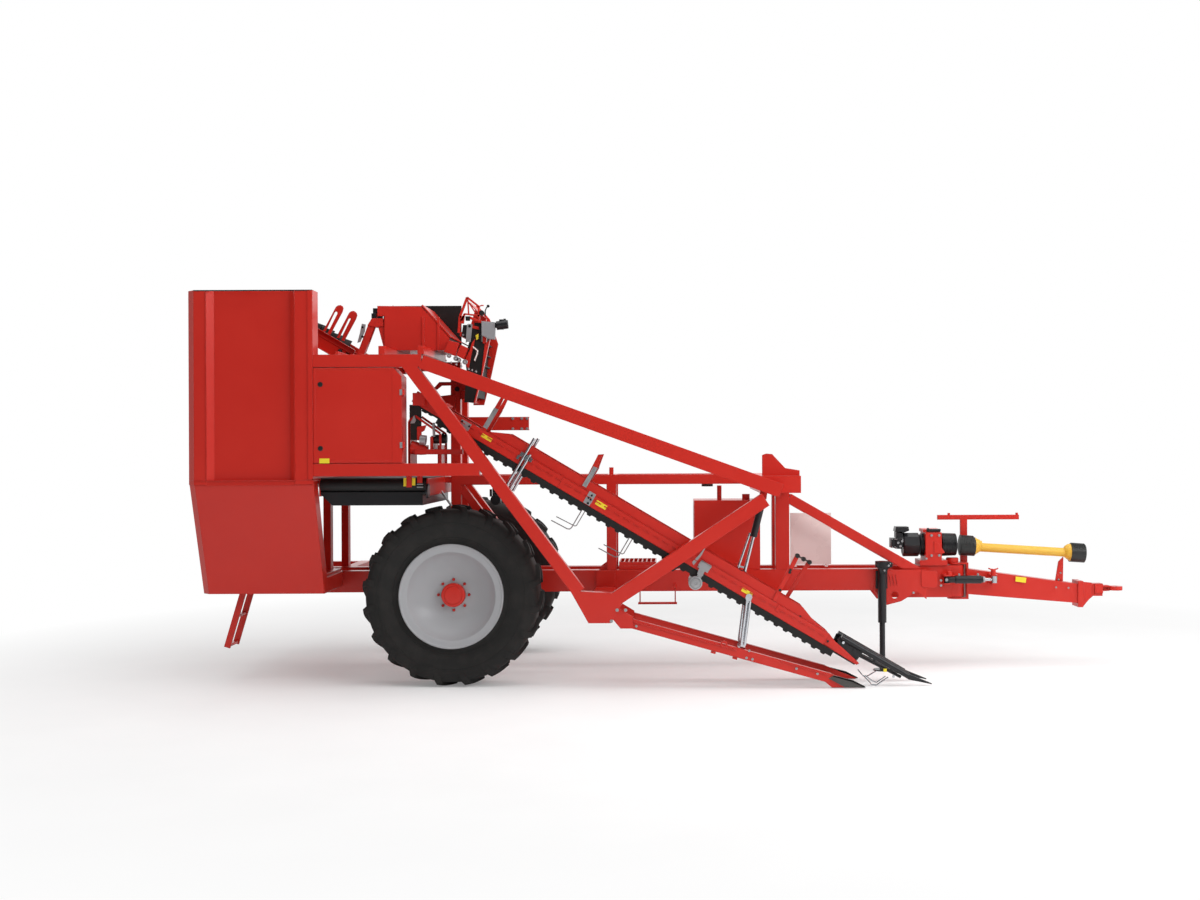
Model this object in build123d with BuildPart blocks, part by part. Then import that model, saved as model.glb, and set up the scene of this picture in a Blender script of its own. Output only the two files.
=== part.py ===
from build123d import *
import os
from math import atan2, cos, hypot, radians, sin, sqrt

os.makedirs("parts", exist_ok=True)

# Trailed one-row root harvester with a rear bunker, in millimetres.
# +X is forward, +Y the machine's left, +Z up, origin on the ground at mid length.

# Overall
half_length = 4672
half_width = 1500
fit = 0.3                     # face gap where a moving piece seats
pin_fit = 0.3                 # radial gap of a pin in its bore

# Wheels
wheel_x = -2200
wheel_y = 1100
tyre_radius = 875
tyre_width = 460
lug_height = 36
lug_count = 20
lug_width = 52
rim_radius = 503
dish_depth = 185
hub_radius = 116
hub_spigot = 102
bearing = 40

# Chassis ladder
beam_outer_y = 300
beam_width = 120
beam_top = 1035
beam_height = 220
beam_front = 2150
axle_size = 140

# Upper frame over the chassis
chord_top = 2021
chord_size = 100
chord_y = 250
mid_post_x = -700
rear_post_x = -2305
rear_post_top = 3000
bunker_post_x = -3604
bunker_post_width = 75
front_post_x = 1067
front_post_width = 142
portal_length = 390
portal_height = 163
portal_x = 960
brace_size = 100

# Side truss on the right
truss_size = 120
truss_beam = 134             # the long sloping beam and the front diagonal are deeper
truss_width = 100
truss_top = 3190
truss_mid = 2156
truss_knee_x = -2445
node_x = -962
node_z = 930

# Bunker
bunker_length = 1200
bunker_top = 3803
bunker_fold = 1999
bunker_bottom = 884
bunker_bottom_half_width = half_width - 415
bunker_wall = 6
bunker_panel_depth = 60
bunker_corner = 72
bunker_low_edge = 3200
floor_depth = 40

# Lifting unit
lift_angle = 30.8
lift_x = -2486
lift_z = 2768
lift_y = -half_width + 338
lift_half_width = 180
lift_length = 4900
lift_pin_radius = 25
belt_bottom = -93
belt_height = 63
lug_drop = 16
lug_pitch = 240
channel_low = -58
channel_top = 57
guard_top = 150
plate = 6

# Steering pivot and drawbar
pivot_x = 2905
pivot_radius = 62
neck_top = 1053
neck_bottom = 722
neck_half_width = 130

# Share arms
arm_pivot = (-520, 640)
arm_pin_radius = 20
near_arm_y, far_arm_y = -half_width + 55, -half_width + 565
arm_width = 50

# Lift cylinder
cylinder_top = (812, 1815)
cylinder_low = (620, 1062)
cylinder_pin = 14
cylinder_drift = 5.5          # how far the rod eye wanders from its pin

# Steering cylinder
steer_rear_x, steer_front_x = 2775, 3270
steer_y, steer_z = -230, 915
steer_pin = 10
steer_eye = 72
steer_drift = 10.5            # how far the rod eye wanders from its pin

# Drive shaft from the tractor, falling a little towards the hitch
shaft_rear, shaft_front = 2962, 4272
shaft_height = 1247
shaft_fall = 0.064
shaft_radius = 46

# Jack
jack_x = 2084
jack_radius = 43.5
jack_leg_radius = 29
jack_top = 1120
jack_tube_bottom = 491

# Worked out from the sizes above
rear_x = -half_length
bunker_front = rear_x + bunker_length
near_y = -half_width
truss_far_y = near_y + truss_width
beam_bottom = beam_top - beam_height
beam_inner_y = beam_outer_y - beam_width
beam_mid_y = beam_outer_y - beam_width / 2
portal_bottom = chord_top - portal_height
half_tyre = tyre_width / 2
cylinder_reach = hypot(cylinder_low[0] - cylinder_top[0], cylinder_low[1] - cylinder_top[1])
along = Vector(cos(radians(lift_angle)), 0, -sin(radians(lift_angle)))
lift_frame = Plane(origin=(lift_x, lift_y, lift_z), x_dir=along, z_dir=(-along.Z, 0, along.X))
lift_side = Plane(origin=(lift_x, 0, lift_z), x_dir=along, z_dir=(0, -1, 0))
foot_x, foot_z = cylinder_low[0] - lift_x, cylinder_low[1] - lift_z
cylinder_foot = (foot_x * along.X + foot_z * along.Z, foot_z * along.X - foot_x * along.Z)


# a box between six planes of the part in hand
def block(x_low, x_high, y_low, y_high, z_low, z_high, mode=Mode.ADD):
    with Locations(((x_low + x_high) / 2, (y_low + y_high) / 2, (z_low + z_high) / 2)):
        Box(x_high - x_low, y_high - y_low, z_high - z_low, mode=mode)


# a plate of this outline, seen from the right, between two Y planes
def side_plate(points, y_near, y_far, plane=Plane.XZ, mode=Mode.ADD):
    with BuildSketch(plane.offset(-y_far)) as outline:
        with BuildLine():
            Polyline(*points, close=True)
        make_face()
    extrude(outline.sketch, amount=y_far - y_near, mode=mode)


# a straight bar of this depth along its centre line, seen from the right
def side_bar(start, end, depth, y_near, y_far, plane=Plane.XZ, mode=Mode.ADD):
    run = Vector(end[0] - start[0], end[1] - start[1]).normalized()
    step = Vector(-run.Y, run.X) * (depth / 2)
    corners = [
        (start[0] + step.X, start[1] + step.Y), (end[0] + step.X, end[1] + step.Y),
        (end[0] - step.X, end[1] - step.Y), (start[0] - step.X, start[1] - step.Y)]
    side_plate(corners, y_near, y_far, plane, mode)


# a round boss, pin or bore across the machine
def side_disc(x, z, radius, y_near, y_far, plane=Plane.XZ, mode=Mode.ADD):
    with BuildSketch(plane.offset(-y_far)) as disc:
        with Locations((x, z)):
            Circle(radius)
    extrude(disc.sketch, amount=y_far - y_near, mode=mode)


# a round rod from one point to another
def rod_between(start, end, radius, mode=Mode.ADD):
    run = Vector(*end) - Vector(*start)
    with BuildSketch(Plane(origin=start, z_dir=run)) as section:
        Circle(radius)
    extrude(section.sketch, amount=run.length, mode=mode)


# a point on the lift cylinder's centre line, this far below its top pin
def cylinder_point(distance):
    share = distance / cylinder_reach
    x = cylinder_top[0] + (cylinder_low[0] - cylinder_top[0]) * share
    z = cylinder_top[1] + (cylinder_low[1] - cylinder_top[1]) * share
    return (x, lift_y, z)


# the ear and pin that one share arm swings on
def share_hanger(arm_y):
    side_plate([(-670, 700), (-670, 780), (-600, 780), (-450, 690), (-450, 580), (-570, 580)],
               arm_y - 20, arm_y - 10)
    side_disc(arm_pivot[0], arm_pivot[1], arm_pin_radius, arm_y - 20, arm_y + arm_width + 5)


# two ears and a pin beside the neck or the drawbar for one end of the steering cylinder
def steer_clevis(x, y_inner):
    for low in (steer_z - steer_eye / 2 - 14, steer_z + steer_eye / 2):
        block(x - 32, x + 32, steer_y - 30, y_inner, low, low + 14)
    with Locations((x, steer_y, steer_z)):
        Cylinder(steer_pin, steer_eye + 2)


# ---- Chassis ladder ----
frame_ties = [bunker_front + 150, wheel_x, mid_post_x, front_post_x, beam_front - 60]
with BuildPart() as main_frame:
    for side in (-1, 1):
        low, high = sorted((side * beam_inner_y, side * beam_outer_y))
        block(rear_x + 30, beam_front, low, high, beam_bottom, beam_top)
    for tie_x in frame_ties:
        block(tie_x - 60, tie_x + 60, -beam_inner_y, beam_inner_y, beam_bottom + 30, beam_top - 30)
main_frame.part.label = "main_frame"
export_step(main_frame.part, "parts/main_frame.step")

# The neck carries the steering pivot between two gusset plates.
gusset_outline = [
    (beam_front - 140, beam_top - 8), (beam_front + 400, beam_top - 8), (beam_front + 400, neck_bottom),
    (beam_front + 300, 800), (beam_front + 140, 702), (beam_front - 20, 661),
    (beam_front - 140, beam_bottom)]
with BuildPart() as front_neck:
    block(beam_front, pivot_x - pivot_radius, -neck_half_width, neck_half_width, neck_bottom, neck_top)
    with Locations((pivot_x, 0, (neck_bottom + neck_top) / 2)):
        Cylinder(neck_half_width * 0.75, neck_top - neck_bottom)
    block(pivot_x - 200, pivot_x, -neck_half_width * 0.75, neck_half_width * 0.75, neck_bottom, neck_top)
    for side in (-1, 1):
        low, high = sorted((side * beam_outer_y, side * (beam_outer_y + 14)))
        side_plate(gusset_outline, low, high)
        side_disc(2223, 765, 36, low, high, mode=Mode.SUBTRACT)
    block(beam_front, beam_front + 60, -beam_outer_y, beam_outer_y, beam_bottom, beam_top - 8)
    with Locations((pivot_x, 0, (neck_bottom + neck_top) / 2)):
        Hole(40 + pin_fit, neck_top)
    steer_clevis(steer_rear_x, -90)
front_neck.part.label = "front_neck"
export_step(front_neck.part, "parts/front_neck.step")

with BuildPart() as axle_stubs:
    for side in (-1, 1):
        low, high = sorted((side * beam_outer_y, side * (wheel_y - 150)))
        block(wheel_x - axle_size / 2, wheel_x + axle_size / 2, low, high,
              tyre_radius - axle_size / 2, tyre_radius + axle_size / 2)
        low, high = sorted((side * (wheel_y - 150), side * (wheel_y + half_tyre - dish_depth + 40)))
        side_disc(wheel_x, tyre_radius, bearing, low, high)
axle_stubs.part.label = "axle_stubs"
export_step(axle_stubs.part, "parts/axle_stubs.step")

# ---- Wheels ----
tread_radius = tyre_radius - lug_height
carcass_width = tyre_width - 12
shoulder = 42
lug_length = tyre_width * 0.54
lug_lean = 38
lug_reach = (lug_length * sin(radians(lug_lean)) + lug_width * cos(radians(lug_lean))) / 2
lug_top = sqrt(tyre_radius ** 2 - lug_reach ** 2)     # a flat top whose corners touch the tyre radius
lug_root = tread_radius - shoulder + 6
for name, side in (("right", -1), ("left", 1)):
    centre_y = side * wheel_y
    with BuildPart() as tyre:
        # the carcass has one flat under each lug
        with BuildSketch(Plane.XZ.offset(-centre_y - carcass_width / 2)):
            with Locations((wheel_x, tyre_radius)):
                RegularPolygon(tread_radius, lug_count * 2, major_radius=False)
                Circle(rim_radius + fit, mode=Mode.SUBTRACT)
        extrude(amount=carcass_width)
        rim_edges = tyre.faces().filter_by(Axis.Y).edges().filter_by(GeomType.LINE)
        chamfer(rim_edges, shoulder)
        # lugs lie in two staggered rows and lean like a chevron
        for row, turn in ((-1, 0), (1, 0.5)):
            for index in range(lug_count):
                angle = 360 / lug_count * (index + turn)
                spot = Location((wheel_x, centre_y, tyre_radius), (0, angle, 0))
                lean = Location((0, row * tyre_width / 4, (lug_top + lug_root) / 2),
                                (0, 0, row * lug_lean))
                with Locations(spot * lean):
                    Box(lug_width, lug_length, lug_top - lug_root)
    tyre.part.label = "tyre_" + name
    export_step(tyre.part, "parts/tyre_" + name + ".step")

    # rim and dished disc, turned as one section; 'out' points away from the machine
    disc_y = half_tyre - dish_depth
    disc_plate = 14
    flange_y = carcass_width / 2 + fit
    rim_section = [
        (hub_spigot + fit, disc_y - disc_plate), (250, disc_y - disc_plate), (424, half_tyre - 62),
        (490, half_tyre - 62), (490, -flange_y), (rim_radius, -flange_y), (rim_radius, flange_y + 6),
        (424, flange_y + 6), (240, disc_y), (hub_spigot + fit, disc_y)]
    with BuildPart() as rim:
        with BuildSketch(Plane.YZ.offset(wheel_x)):
            with BuildLine():
                Polyline(*[(centre_y + side * y, tyre_radius + r) for r, y in rim_section], close=True)
            make_face()
        revolve(axis=Axis((wheel_x, 0, tyre_radius), (0, 1, 0)))
    rim.part.label = "rim_" + name
    export_step(rim.part, "parts/rim_" + name + ".step")

    # hub: a spigot through the disc and the wider cap in front of it
    hub_section = [
        (bearing + pin_fit, disc_y - 60), (hub_spigot, disc_y - 60), (hub_spigot, disc_y + fit),
        (hub_radius, disc_y + fit),
        (hub_radius, disc_y + 66), (0, disc_y + 66), (0, disc_y + 42), (bearing + pin_fit, disc_y + 42)]
    with BuildPart() as hub:
        with BuildSketch(Plane.YZ.offset(wheel_x)):
            with BuildLine():
                Polyline(*[(centre_y + side * y, tyre_radius + r) for r, y in hub_section], close=True)
            make_face()
        revolve(axis=Axis((wheel_x, 0, tyre_radius), (0, 1, 0)))
    hub.part.label = "hub_" + name
    export_step(hub.part, "parts/hub_" + name + ".step")

# ---- Side truss, with the cross beam that ties its lower node to the chassis ----
truss_rise = truss_top - chord_top
truss_run = portal_x - portal_length / 2 - truss_knee_x
truss_angle = atan2(truss_rise, truss_run)
top_drop = truss_beam / 2 / cos(truss_angle)
cross_x = node_x + 200
with BuildPart() as side_truss:
    block(bunker_front, truss_knee_x, near_y, truss_far_y, truss_top - truss_size, truss_top)
    block(bunker_front, -1900, near_y, truss_far_y, truss_mid - truss_size, truss_mid)
    side_bar((truss_knee_x, truss_top - top_drop), (portal_x, chord_top - top_drop - 68),
             truss_beam, near_y, truss_far_y)
    side_bar((-2600, truss_top - 60), (node_x, node_z), truss_size, near_y, truss_far_y)
    side_bar((-740, 780), (810, 1800), truss_beam, near_y, truss_far_y)
    side_plate([(-1043, 942), (-872, 636), (-662, 636), (-557, 806), (-661, 921)], near_y, truss_far_y)
    share_hanger(near_arm_y)
side_truss.part.label = "side_truss"
export_step(side_truss.part, "parts/side_truss.step")

# ---- Front portal, posts and upper chords ----
with BuildPart() as front_portal:
    block(portal_x - portal_length / 2, portal_x + portal_length / 2, truss_far_y, chord_y + 50,
          portal_bottom, chord_top)
    side_plate([(794, chord_top), (794, 2221), (833, 2235), (891, 2230), (1016, 2095), (1155, 2072),
                (1155, chord_top)], -1262, -1242)
    for low in (lift_y - 40, lift_y + 28):
        side_plate([(776, portal_bottom), (786, 1790), (838, 1790), (848, portal_bottom)], low, low + 12)
    side_disc(cylinder_top[0], cylinder_top[1], cylinder_pin, lift_y - 40, lift_y + 40)
    for side in (-1, 1):
        low, high = sorted((side * beam_inner_y, side * beam_outer_y))
        block(front_post_x - front_post_width / 2, front_post_x + front_post_width / 2, low, high,
              beam_top, portal_bottom)
front_portal.part.label = "front_portal"
export_step(front_portal.part, "parts/front_portal.step")

chord_front = portal_x - portal_length / 2
bracket_front, bracket_low, bracket_high = -1548, 2484, 2622
with BuildPart() as upper_frame:
    for side in (-1, 1):
        low, high = side * chord_y - 50, side * chord_y + 50
        block(rear_post_x + 50, chord_front, low, high, chord_top - chord_size, chord_top)
        block(mid_post_x - 50, mid_post_x + 50, low, high, beam_top, chord_top)
        block(rear_post_x - 50, rear_post_x + 50, low, high, beam_top, rear_post_top)
        side_bar((rear_post_x, chord_top - 60), (-1640, beam_top + 40), 80, low + 10, high - 10)
        side_plate([(mid_post_x - 50, beam_top), (mid_post_x - 135, beam_top),
                    (mid_post_x - 50, beam_top + 62)],
                   side * chord_y - 5, side * chord_y + 5)
    for tie_x in (rear_post_x, mid_post_x):
        block(tie_x - 50, tie_x + 50, -chord_y, chord_y, chord_top - chord_size, chord_top)
    # flanged bracket ahead of the rear post and the stub on the mid post
    block(rear_post_x + 50, bracket_front, -chord_y - 50, -chord_y - 42, bracket_low, bracket_high)
    for z in (bracket_low, bracket_high - 8):
        block(rear_post_x + 50, bracket_front, -chord_y - 50, -chord_y + 10, z, z + 8)
    side_plate([(rear_post_x + 50, bracket_low - 110), (rear_post_x + 50, bracket_low),
                (rear_post_x + 230, bracket_low)], -chord_y - 50, -chord_y - 42)
    block(mid_post_x - 22, mid_post_x + 22, -chord_y - 22, -chord_y + 22, chord_top, chord_top + 75)
    block(rear_post_x - 50, rear_post_x + 50, -chord_y, chord_y, rear_post_top - 100, rear_post_top)
    # arm that carries the lifting unit's shaft, and the tie to the side rail
    side_plate([(lift_x - 70, lift_z - 60), (lift_x - 70, lift_z + 60), (rear_post_x, lift_z + 90),
                (rear_post_x, lift_z - 120)], -chord_y - 50 - 20, -chord_y - 50)
upper_frame.part.label = "upper_frame"
export_step(upper_frame.part, "parts/upper_frame.step")

with BuildPart() as front_braces:
    for side in (-1, 1):
        side_bar((1138, 1770), (2470, 1000), brace_size, side * beam_mid_y - 50, side * beam_mid_y + 50)
    block(front_post_x - 100, front_post_x + 71, -400, 400, 0, 3000, mode=Mode.SUBTRACT)
    block(beam_front - 200, beam_front + 600, -400, 400, 0, beam_top, mode=Mode.SUBTRACT)
front_braces.part.label = "front_braces"
export_step(front_braces.part, "parts/front_braces.step")

with BuildPart() as cross_beam:
    block(cross_x - 100, cross_x + 100, truss_far_y, -beam_outer_y, 690, 860)
    block(cross_x - 100, cross_x + 100, -beam_outer_y - 14, -beam_outer_y, 690, beam_top)
    share_hanger(far_arm_y)
cross_beam.part.label = "cross_beam"
export_step(cross_beam.part, "parts/cross_beam.step")

# ---- Bunker ----
# plan of the right-hand bunker wall, pressed inward between two flat columns
def near_wall(inset):
    return [
        (bunker_front - inset, near_y + inset), (bunker_front - 172, near_y + inset),
        (bunker_front - 232, near_y + bunker_panel_depth + inset),
        (rear_x + 250, near_y + bunker_panel_depth + inset), (rear_x + 188, near_y + inset),
        (rear_x + bunker_corner, near_y + inset), (rear_x + inset, near_y + bunker_corner)]


# plan of the whole upper bunker
def bunker_ring(inset):
    far_edge = half_width - inset
    return near_wall(inset) + [
        (rear_x + inset, far_edge - bunker_corner), (rear_x + bunker_corner, far_edge),
        (bunker_front - inset, far_edge)]


with BuildPart() as bunker_shell:
    for inset, mode in ((0, Mode.ADD), (bunker_wall, Mode.SUBTRACT)):
        with BuildSketch(Plane.XY.offset(bunker_fold)):
            with BuildLine():
                Polyline(*bunker_ring(inset), close=True)
            make_face()
        extrude(amount=bunker_top - bunker_fold, mode=mode)
    # low front and left edges: the elevator comes in over one, the load goes out over the other
    block(bunker_front - 60, bunker_front + 10, near_y + 200, half_width + 10, bunker_low_edge,
          bunker_top + 10, mode=Mode.SUBTRACT)
    with BuildSketch(Plane.YZ.offset(rear_x - 10)):
        with BuildLine():
            Polyline((0, bunker_top + 10), (half_width - 300, bunker_low_edge),
                     (half_width + 10, bunker_low_edge), (half_width + 10, bunker_top + 10), close=True)
        make_face()
    extrude(amount=bunker_length + 20, mode=Mode.SUBTRACT)
bunker_shell.part.label = "bunker_shell"
export_step(bunker_shell.part, "parts/bunker_shell.step")

with BuildPart() as bunker_floor:
    with BuildSketch(Plane.XY.offset(bunker_fold - floor_depth)):
        with BuildLine():
            Polyline(*bunker_ring(0), close=True)
        make_face()
    extrude(amount=floor_depth)
    for rib_x in (-4400, -4072, -3744):
        block(rib_x - 30, rib_x + 30, near_y + 120, half_width - 60, bunker_fold - floor_depth - 50,
              bunker_fold - floor_depth)
bunker_floor.part.label = "bunker_floor"
export_step(bunker_floor.part, "parts/bunker_floor.step")

skirt_lean = half_width - bunker_bottom_half_width
skirt_top = bunker_fold - floor_depth
with BuildPart() as bunker_skirt:
    for inset, mode in ((0, Mode.ADD), (bunker_wall, Mode.SUBTRACT)):
        for z, y in ((bunker_bottom, near_y + skirt_lean), (skirt_top, near_y + skirt_lean * 0.036)):
            with BuildSketch(Plane.XY.offset(z)):
                with BuildLine():
                    Polyline((bunker_front - inset, y + inset), (rear_x + bunker_corner, y + inset),
                             (rear_x + inset, y + bunker_corner), (rear_x + inset, y + 160 + inset * 20),
                             (bunker_front - inset, y + 160 + inset * 20), close=True)
                make_face()
        loft(mode=mode)
bunker_skirt.part.label = "bunker_skirt"
export_step(bunker_skirt.part, "parts/bunker_skirt.step")

bunker_legs_at = ((bunker_post_x, -390), (bunker_post_x, 390), (-4500, 1000), (-4500, -250), (-4250, 1000))
with BuildPart() as bunker_legs:
    for leg_x, leg_y in bunker_legs_at:
        block(leg_x - bunker_post_width / 2, leg_x + bunker_post_width / 2, leg_y - 50, leg_y + 50,
              beam_top, skirt_top)
bunker_legs.part.label = "bunker_legs"
export_step(bunker_legs.part, "parts/bunker_legs.step")

with BuildPart() as bunker_stand:
    outrigger_end = bunker_bottom_half_width - bunker_wall - 1
    for low, high in ((-4560, -4440), (bunker_front - 120 - bunker_wall, bunker_front - bunker_wall - fit)):
        block(low, high, -outrigger_end, -beam_outer_y, beam_bottom + 69, beam_top)
        block(low, high, beam_outer_y, outrigger_end, beam_bottom + 69, beam_top)
    block(-4560, bunker_front - 20, 950, 1050, beam_bottom + 69, beam_top)
bunker_stand.part.label = "bunker_stand"
export_step(bunker_stand.part, "parts/bunker_stand.step")

grate_rear, grate_front, grate_low = -625, -241, 1074
with BuildPart() as service_deck:
    block(-4560, bunker_front - 20, -outrigger_end + 60, -beam_outer_y - 4, beam_top, beam_top + 30)
    block(bunker_post_x - 45, bunker_post_x + 45, -445, -335, beam_top - 10, beam_top + 40, Mode.SUBTRACT)
    # slatted step between the beams ahead of the mid post, on two bearers
    for side in (-1, 1):
        block(grate_rear, grate_front, side * beam_mid_y - 20, side * beam_mid_y + 20, beam_top + fit,
              grate_low - fit)
        block(grate_rear, grate_front, side * beam_mid_y - 6, side * beam_mid_y + 6, grate_low, 1114)
    for step in range(9):
        x = grate_rear + step * (grate_front - grate_rear - 12) / 8
        block(x, x + 12, -beam_mid_y, beam_mid_y, grate_low, 1114)
service_deck.part.label = "service_deck"
export_step(service_deck.part, "parts/service_deck.step")

with BuildPart() as rear_ladder:
    for y in (-850, -570):
        side_bar((-4300, beam_top - 30), (-4500, 330), 60, y - 10, y + 10)
        block(-4330, -4270, y - 10, y + 10, beam_top - 60, beam_top - fit)
    for step_z in (640, 350):
        step_x = -4300 - 200 * (beam_top - step_z) / (beam_top - 330)
        block(step_x - 25, step_x + 25, -850, -570, step_z - 12, step_z + 12)
rear_ladder.part.label = "rear_ladder"
export_step(rear_ladder.part, "parts/rear_ladder.step")

# ---- Control cabinet and its door ----
cab_rear, cab_front = -3470, -2632
cab_low, cab_high = truss_mid, truss_top - truss_size
cab_near, cab_far = near_y + 20, near_y + 250
cabinet_outline = [
    (cab_rear, cab_low), (cab_front, cab_low), (cab_front, cab_high - 90),
    (cab_front - 80, cab_high - 4), (cab_rear, cab_high - 4)]
door_outline = [
    (cab_rear, cab_low + 6), (cab_front, cab_low + 6), (cab_front, cab_high - 90),
    (cab_front - 80, cab_high - 6), (cab_rear, cab_high - 6)]
hinge_x, hinge_y = cab_front + 14, near_y + 12
hinge_knuckles = (2300, 2800)
knuckle_length = 60
with BuildPart() as cabinet:
    side_plate(cabinet_outline, cab_near, cab_far)
    block(cab_rear + 4, cab_front - 90, cab_near - 1, cab_far - 4, cab_low + 8, cab_high - 8,
          mode=Mode.SUBTRACT)
    block(cab_front - 91, cab_front - 4, cab_near - 1, cab_far - 4, cab_low + 8, cab_high - 94,
          mode=Mode.SUBTRACT)
    for z in hinge_knuckles:
        block(cab_front, hinge_x + 6, cab_near + fit, cab_near + 14, z - fit - 10, z - fit)
        block(hinge_x - 6, hinge_x + 6, hinge_y - 6, cab_near + 14, z - fit - 10, z - fit)
        with Locations((hinge_x, hinge_y, z + knuckle_length / 2 - 5)):
            Cylinder(5, knuckle_length + 10)
cabinet.part.label = "cabinet"
export_step(cabinet.part, "parts/cabinet.step")

with BuildPart() as cabinet_door:
    side_plate(door_outline, near_y, cab_near - fit)
    block(cab_rear + 20, cab_front - 90, near_y + 3, cab_near, cab_low + 24, cab_high - 24,
          mode=Mode.SUBTRACT)
    for z in hinge_knuckles:
        block(cab_front - 30, hinge_x, near_y, near_y + 6, z, z + knuckle_length)
        with Locations((hinge_x, hinge_y, z + knuckle_length / 2)):
            Cylinder(12, knuckle_length)
            Cylinder(5 + pin_fit, knuckle_length, mode=Mode.SUBTRACT)
cabinet_door.part.label = "cabinet_door"
export_step(cabinet_door.part, "parts/cabinet_door.step")

# ---- Cross conveyor under the cabinet ----
conveyor_rear, conveyor_front = -3452, -2432
conveyor_near, conveyor_far = near_y + 170, 300
conveyor_roller = 66
conveyor_mid = 1950
with BuildPart() as cross_belt:
    with BuildSketch(Plane.YZ.offset(conveyor_rear)):
        with Locations(((conveyor_near + conveyor_far) / 2, conveyor_mid)):
            SlotOverall(conveyor_far - conveyor_near, conveyor_roller * 2)
            SlotOverall(conveyor_far - conveyor_near - 24, conveyor_roller * 2 - 24, mode=Mode.SUBTRACT)
    extrude(amount=conveyor_front - conveyor_rear)
cross_belt.part.label = "cross_belt"
export_step(cross_belt.part, "parts/cross_belt.step")

with BuildPart() as cross_guard:
    side_plate([(conveyor_rear, 1882), (conveyor_rear, 1862), (conveyor_rear + 110, 1752),
                (conveyor_front - 40, 1752), (conveyor_front - 40, 1862), (conveyor_front, 1862),
                (conveyor_front, 1882)], conveyor_near + 30, conveyor_far - 60)
    side_plate([(conveyor_rear + 12, 1883), (conveyor_rear + 12, 1866), (conveyor_rear + 116, 1764),
                (conveyor_front - 52, 1764), (conveyor_front - 52, 1883)],
               conveyor_near + 42, conveyor_far - 72, mode=Mode.SUBTRACT)
cross_guard.part.label = "cross_guard"
export_step(cross_guard.part, "parts/cross_guard.step")

with BuildPart() as cross_frame:
    for low in (conveyor_rear - fit - 12, conveyor_front + fit):
        block(low, low + 12, conveyor_near + 20, conveyor_far - 20, conveyor_mid - 110, conveyor_mid + 60)
    for y in (conveyor_near + conveyor_roller, conveyor_far - conveyor_roller):
        rod_between((conveyor_rear - fit, y, conveyor_mid), (conveyor_front + fit, y, conveyor_mid),
                    conveyor_roller - 12 - fit)
        block(bunker_front + fit, conveyor_rear - fit - 6, y - 25, y + 25, conveyor_mid - 25,
              conveyor_mid + 25)
    block(conveyor_front + fit, rear_post_x - 50 - fit, -chord_y - 40, -chord_y + 40, 1945, 2005)
cross_frame.part.label = "cross_frame"
export_step(cross_frame.part, "parts/cross_frame.step")

# ---- Topping unit between the lifting unit's end and the cross conveyor ----
with BuildPart() as topping_frame:
    side_plate([(-2600, 2090), (-2600, 2560), (-2540, 2610), (-2300, 2440), (-2300, 2090)], -1300, -1290)
    side_plate([(-2600, 2090), (-2600, 2560), (-2540, 2610), (-2300, 2440), (-2300, 2090)], -960, -950)
    block(-2600, -2592, -1300, -950, 2090, 2560)
    block(-2600, -2300, -1300, -950, 2090, 2100)
    block(-2500, -2420, truss_far_y, -1300, truss_mid - 66, truss_mid - 6)
topping_frame.part.label = "topping_frame"
export_step(topping_frame.part, "parts/topping_frame.step")

# ---- Top hopper, the steep elevator before it and the rear elevator behind it ----
hopper_near, hopper_far = -900, -210
hopper_rear = -2984
hopper_low = 3270
hopper_outline = [
    (hopper_rear, 3610), (hopper_rear, 3712), (-2550, 3704), (-2269, 3393), (-2296, hopper_low),
    (-2916, hopper_low), (-2916, 3610)]
with BuildPart() as hopper:
    side_plate(hopper_outline, hopper_near, hopper_far)
    side_plate([(hopper_rear - 8, hopper_low + 8), (hopper_rear - 8, 3722), (-2556, 3722),
                (-2290, 3413), (-2305, hopper_low + 8)],
               hopper_near + 8, hopper_far - 8, mode=Mode.SUBTRACT)
    side_plate([(-3020, 3600), (-2966, 3788), (-2810, 3690)], hopper_far - 8, hopper_far)
hopper.part.label = "hopper"
export_step(hopper.part, "parts/hopper.step")

with BuildPart() as hopper_stand:
    for x in (-2820, -2450):
        block(x - 30, x + 30, near_y, -chord_y + 50, truss_top, hopper_low - fit)
    block(-2850, rear_post_x + 50, -chord_y - 50, -chord_y + 50, 3100, truss_top)
    block(rear_post_x - 50, rear_post_x + 50, -chord_y - 50, -chord_y + 50, rear_post_top, 3100)
    block(-3420, -3345, truss_far_y, -chord_y + 150, cab_high + 1, 3148.6)
    block(-3390, -2820, -chord_y - 50, -chord_y + 50, cab_high + 1, 3148.6)
    # A-shaped trestle behind the hopper
    for foot_x, head_x in ((-3230, -3120), (-2935, -3040)):
        side_bar((foot_x, truss_top), (head_x, 3500), 50, -870, -820)
    block(-3150, -2997, -880, -810, 3500, 3590)
    block(-3260, -2900, -880, -810, truss_top, truss_top + 30)
    block(-3260, -3230, near_y, -810, truss_top, truss_top + 30)
hopper_stand.part.label = "hopper_stand"
export_step(hopper_stand.part, "parts/hopper_stand.step")

rear_near, rear_far = -700, -120
rear_shafts = ((-3840, 3541), (-3330, 3239))
hoops = (((-3655, 3505), (-3440, 3758)), ((-3500, 3415), (-3290, 3668)))
with BuildPart() as rear_elevator:
    for y in (rear_near, rear_far):
        side_bar((-3880, 3565), (-3290, 3215), 170, y, y + 10)
        # two hairpin hoops stand on each channel
        for foot, head in hoops:
            for offset in (0, 62):
                side_bar((foot[0] + offset, foot[1] - offset * 0.58), head, 24, y, y + 10)
    for end in rear_shafts:
        side_disc(end[0], end[1], 30, rear_near, rear_far + 10)
rear_elevator.part.label = "rear_elevator"
export_step(rear_elevator.part, "parts/rear_elevator.step")

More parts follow.
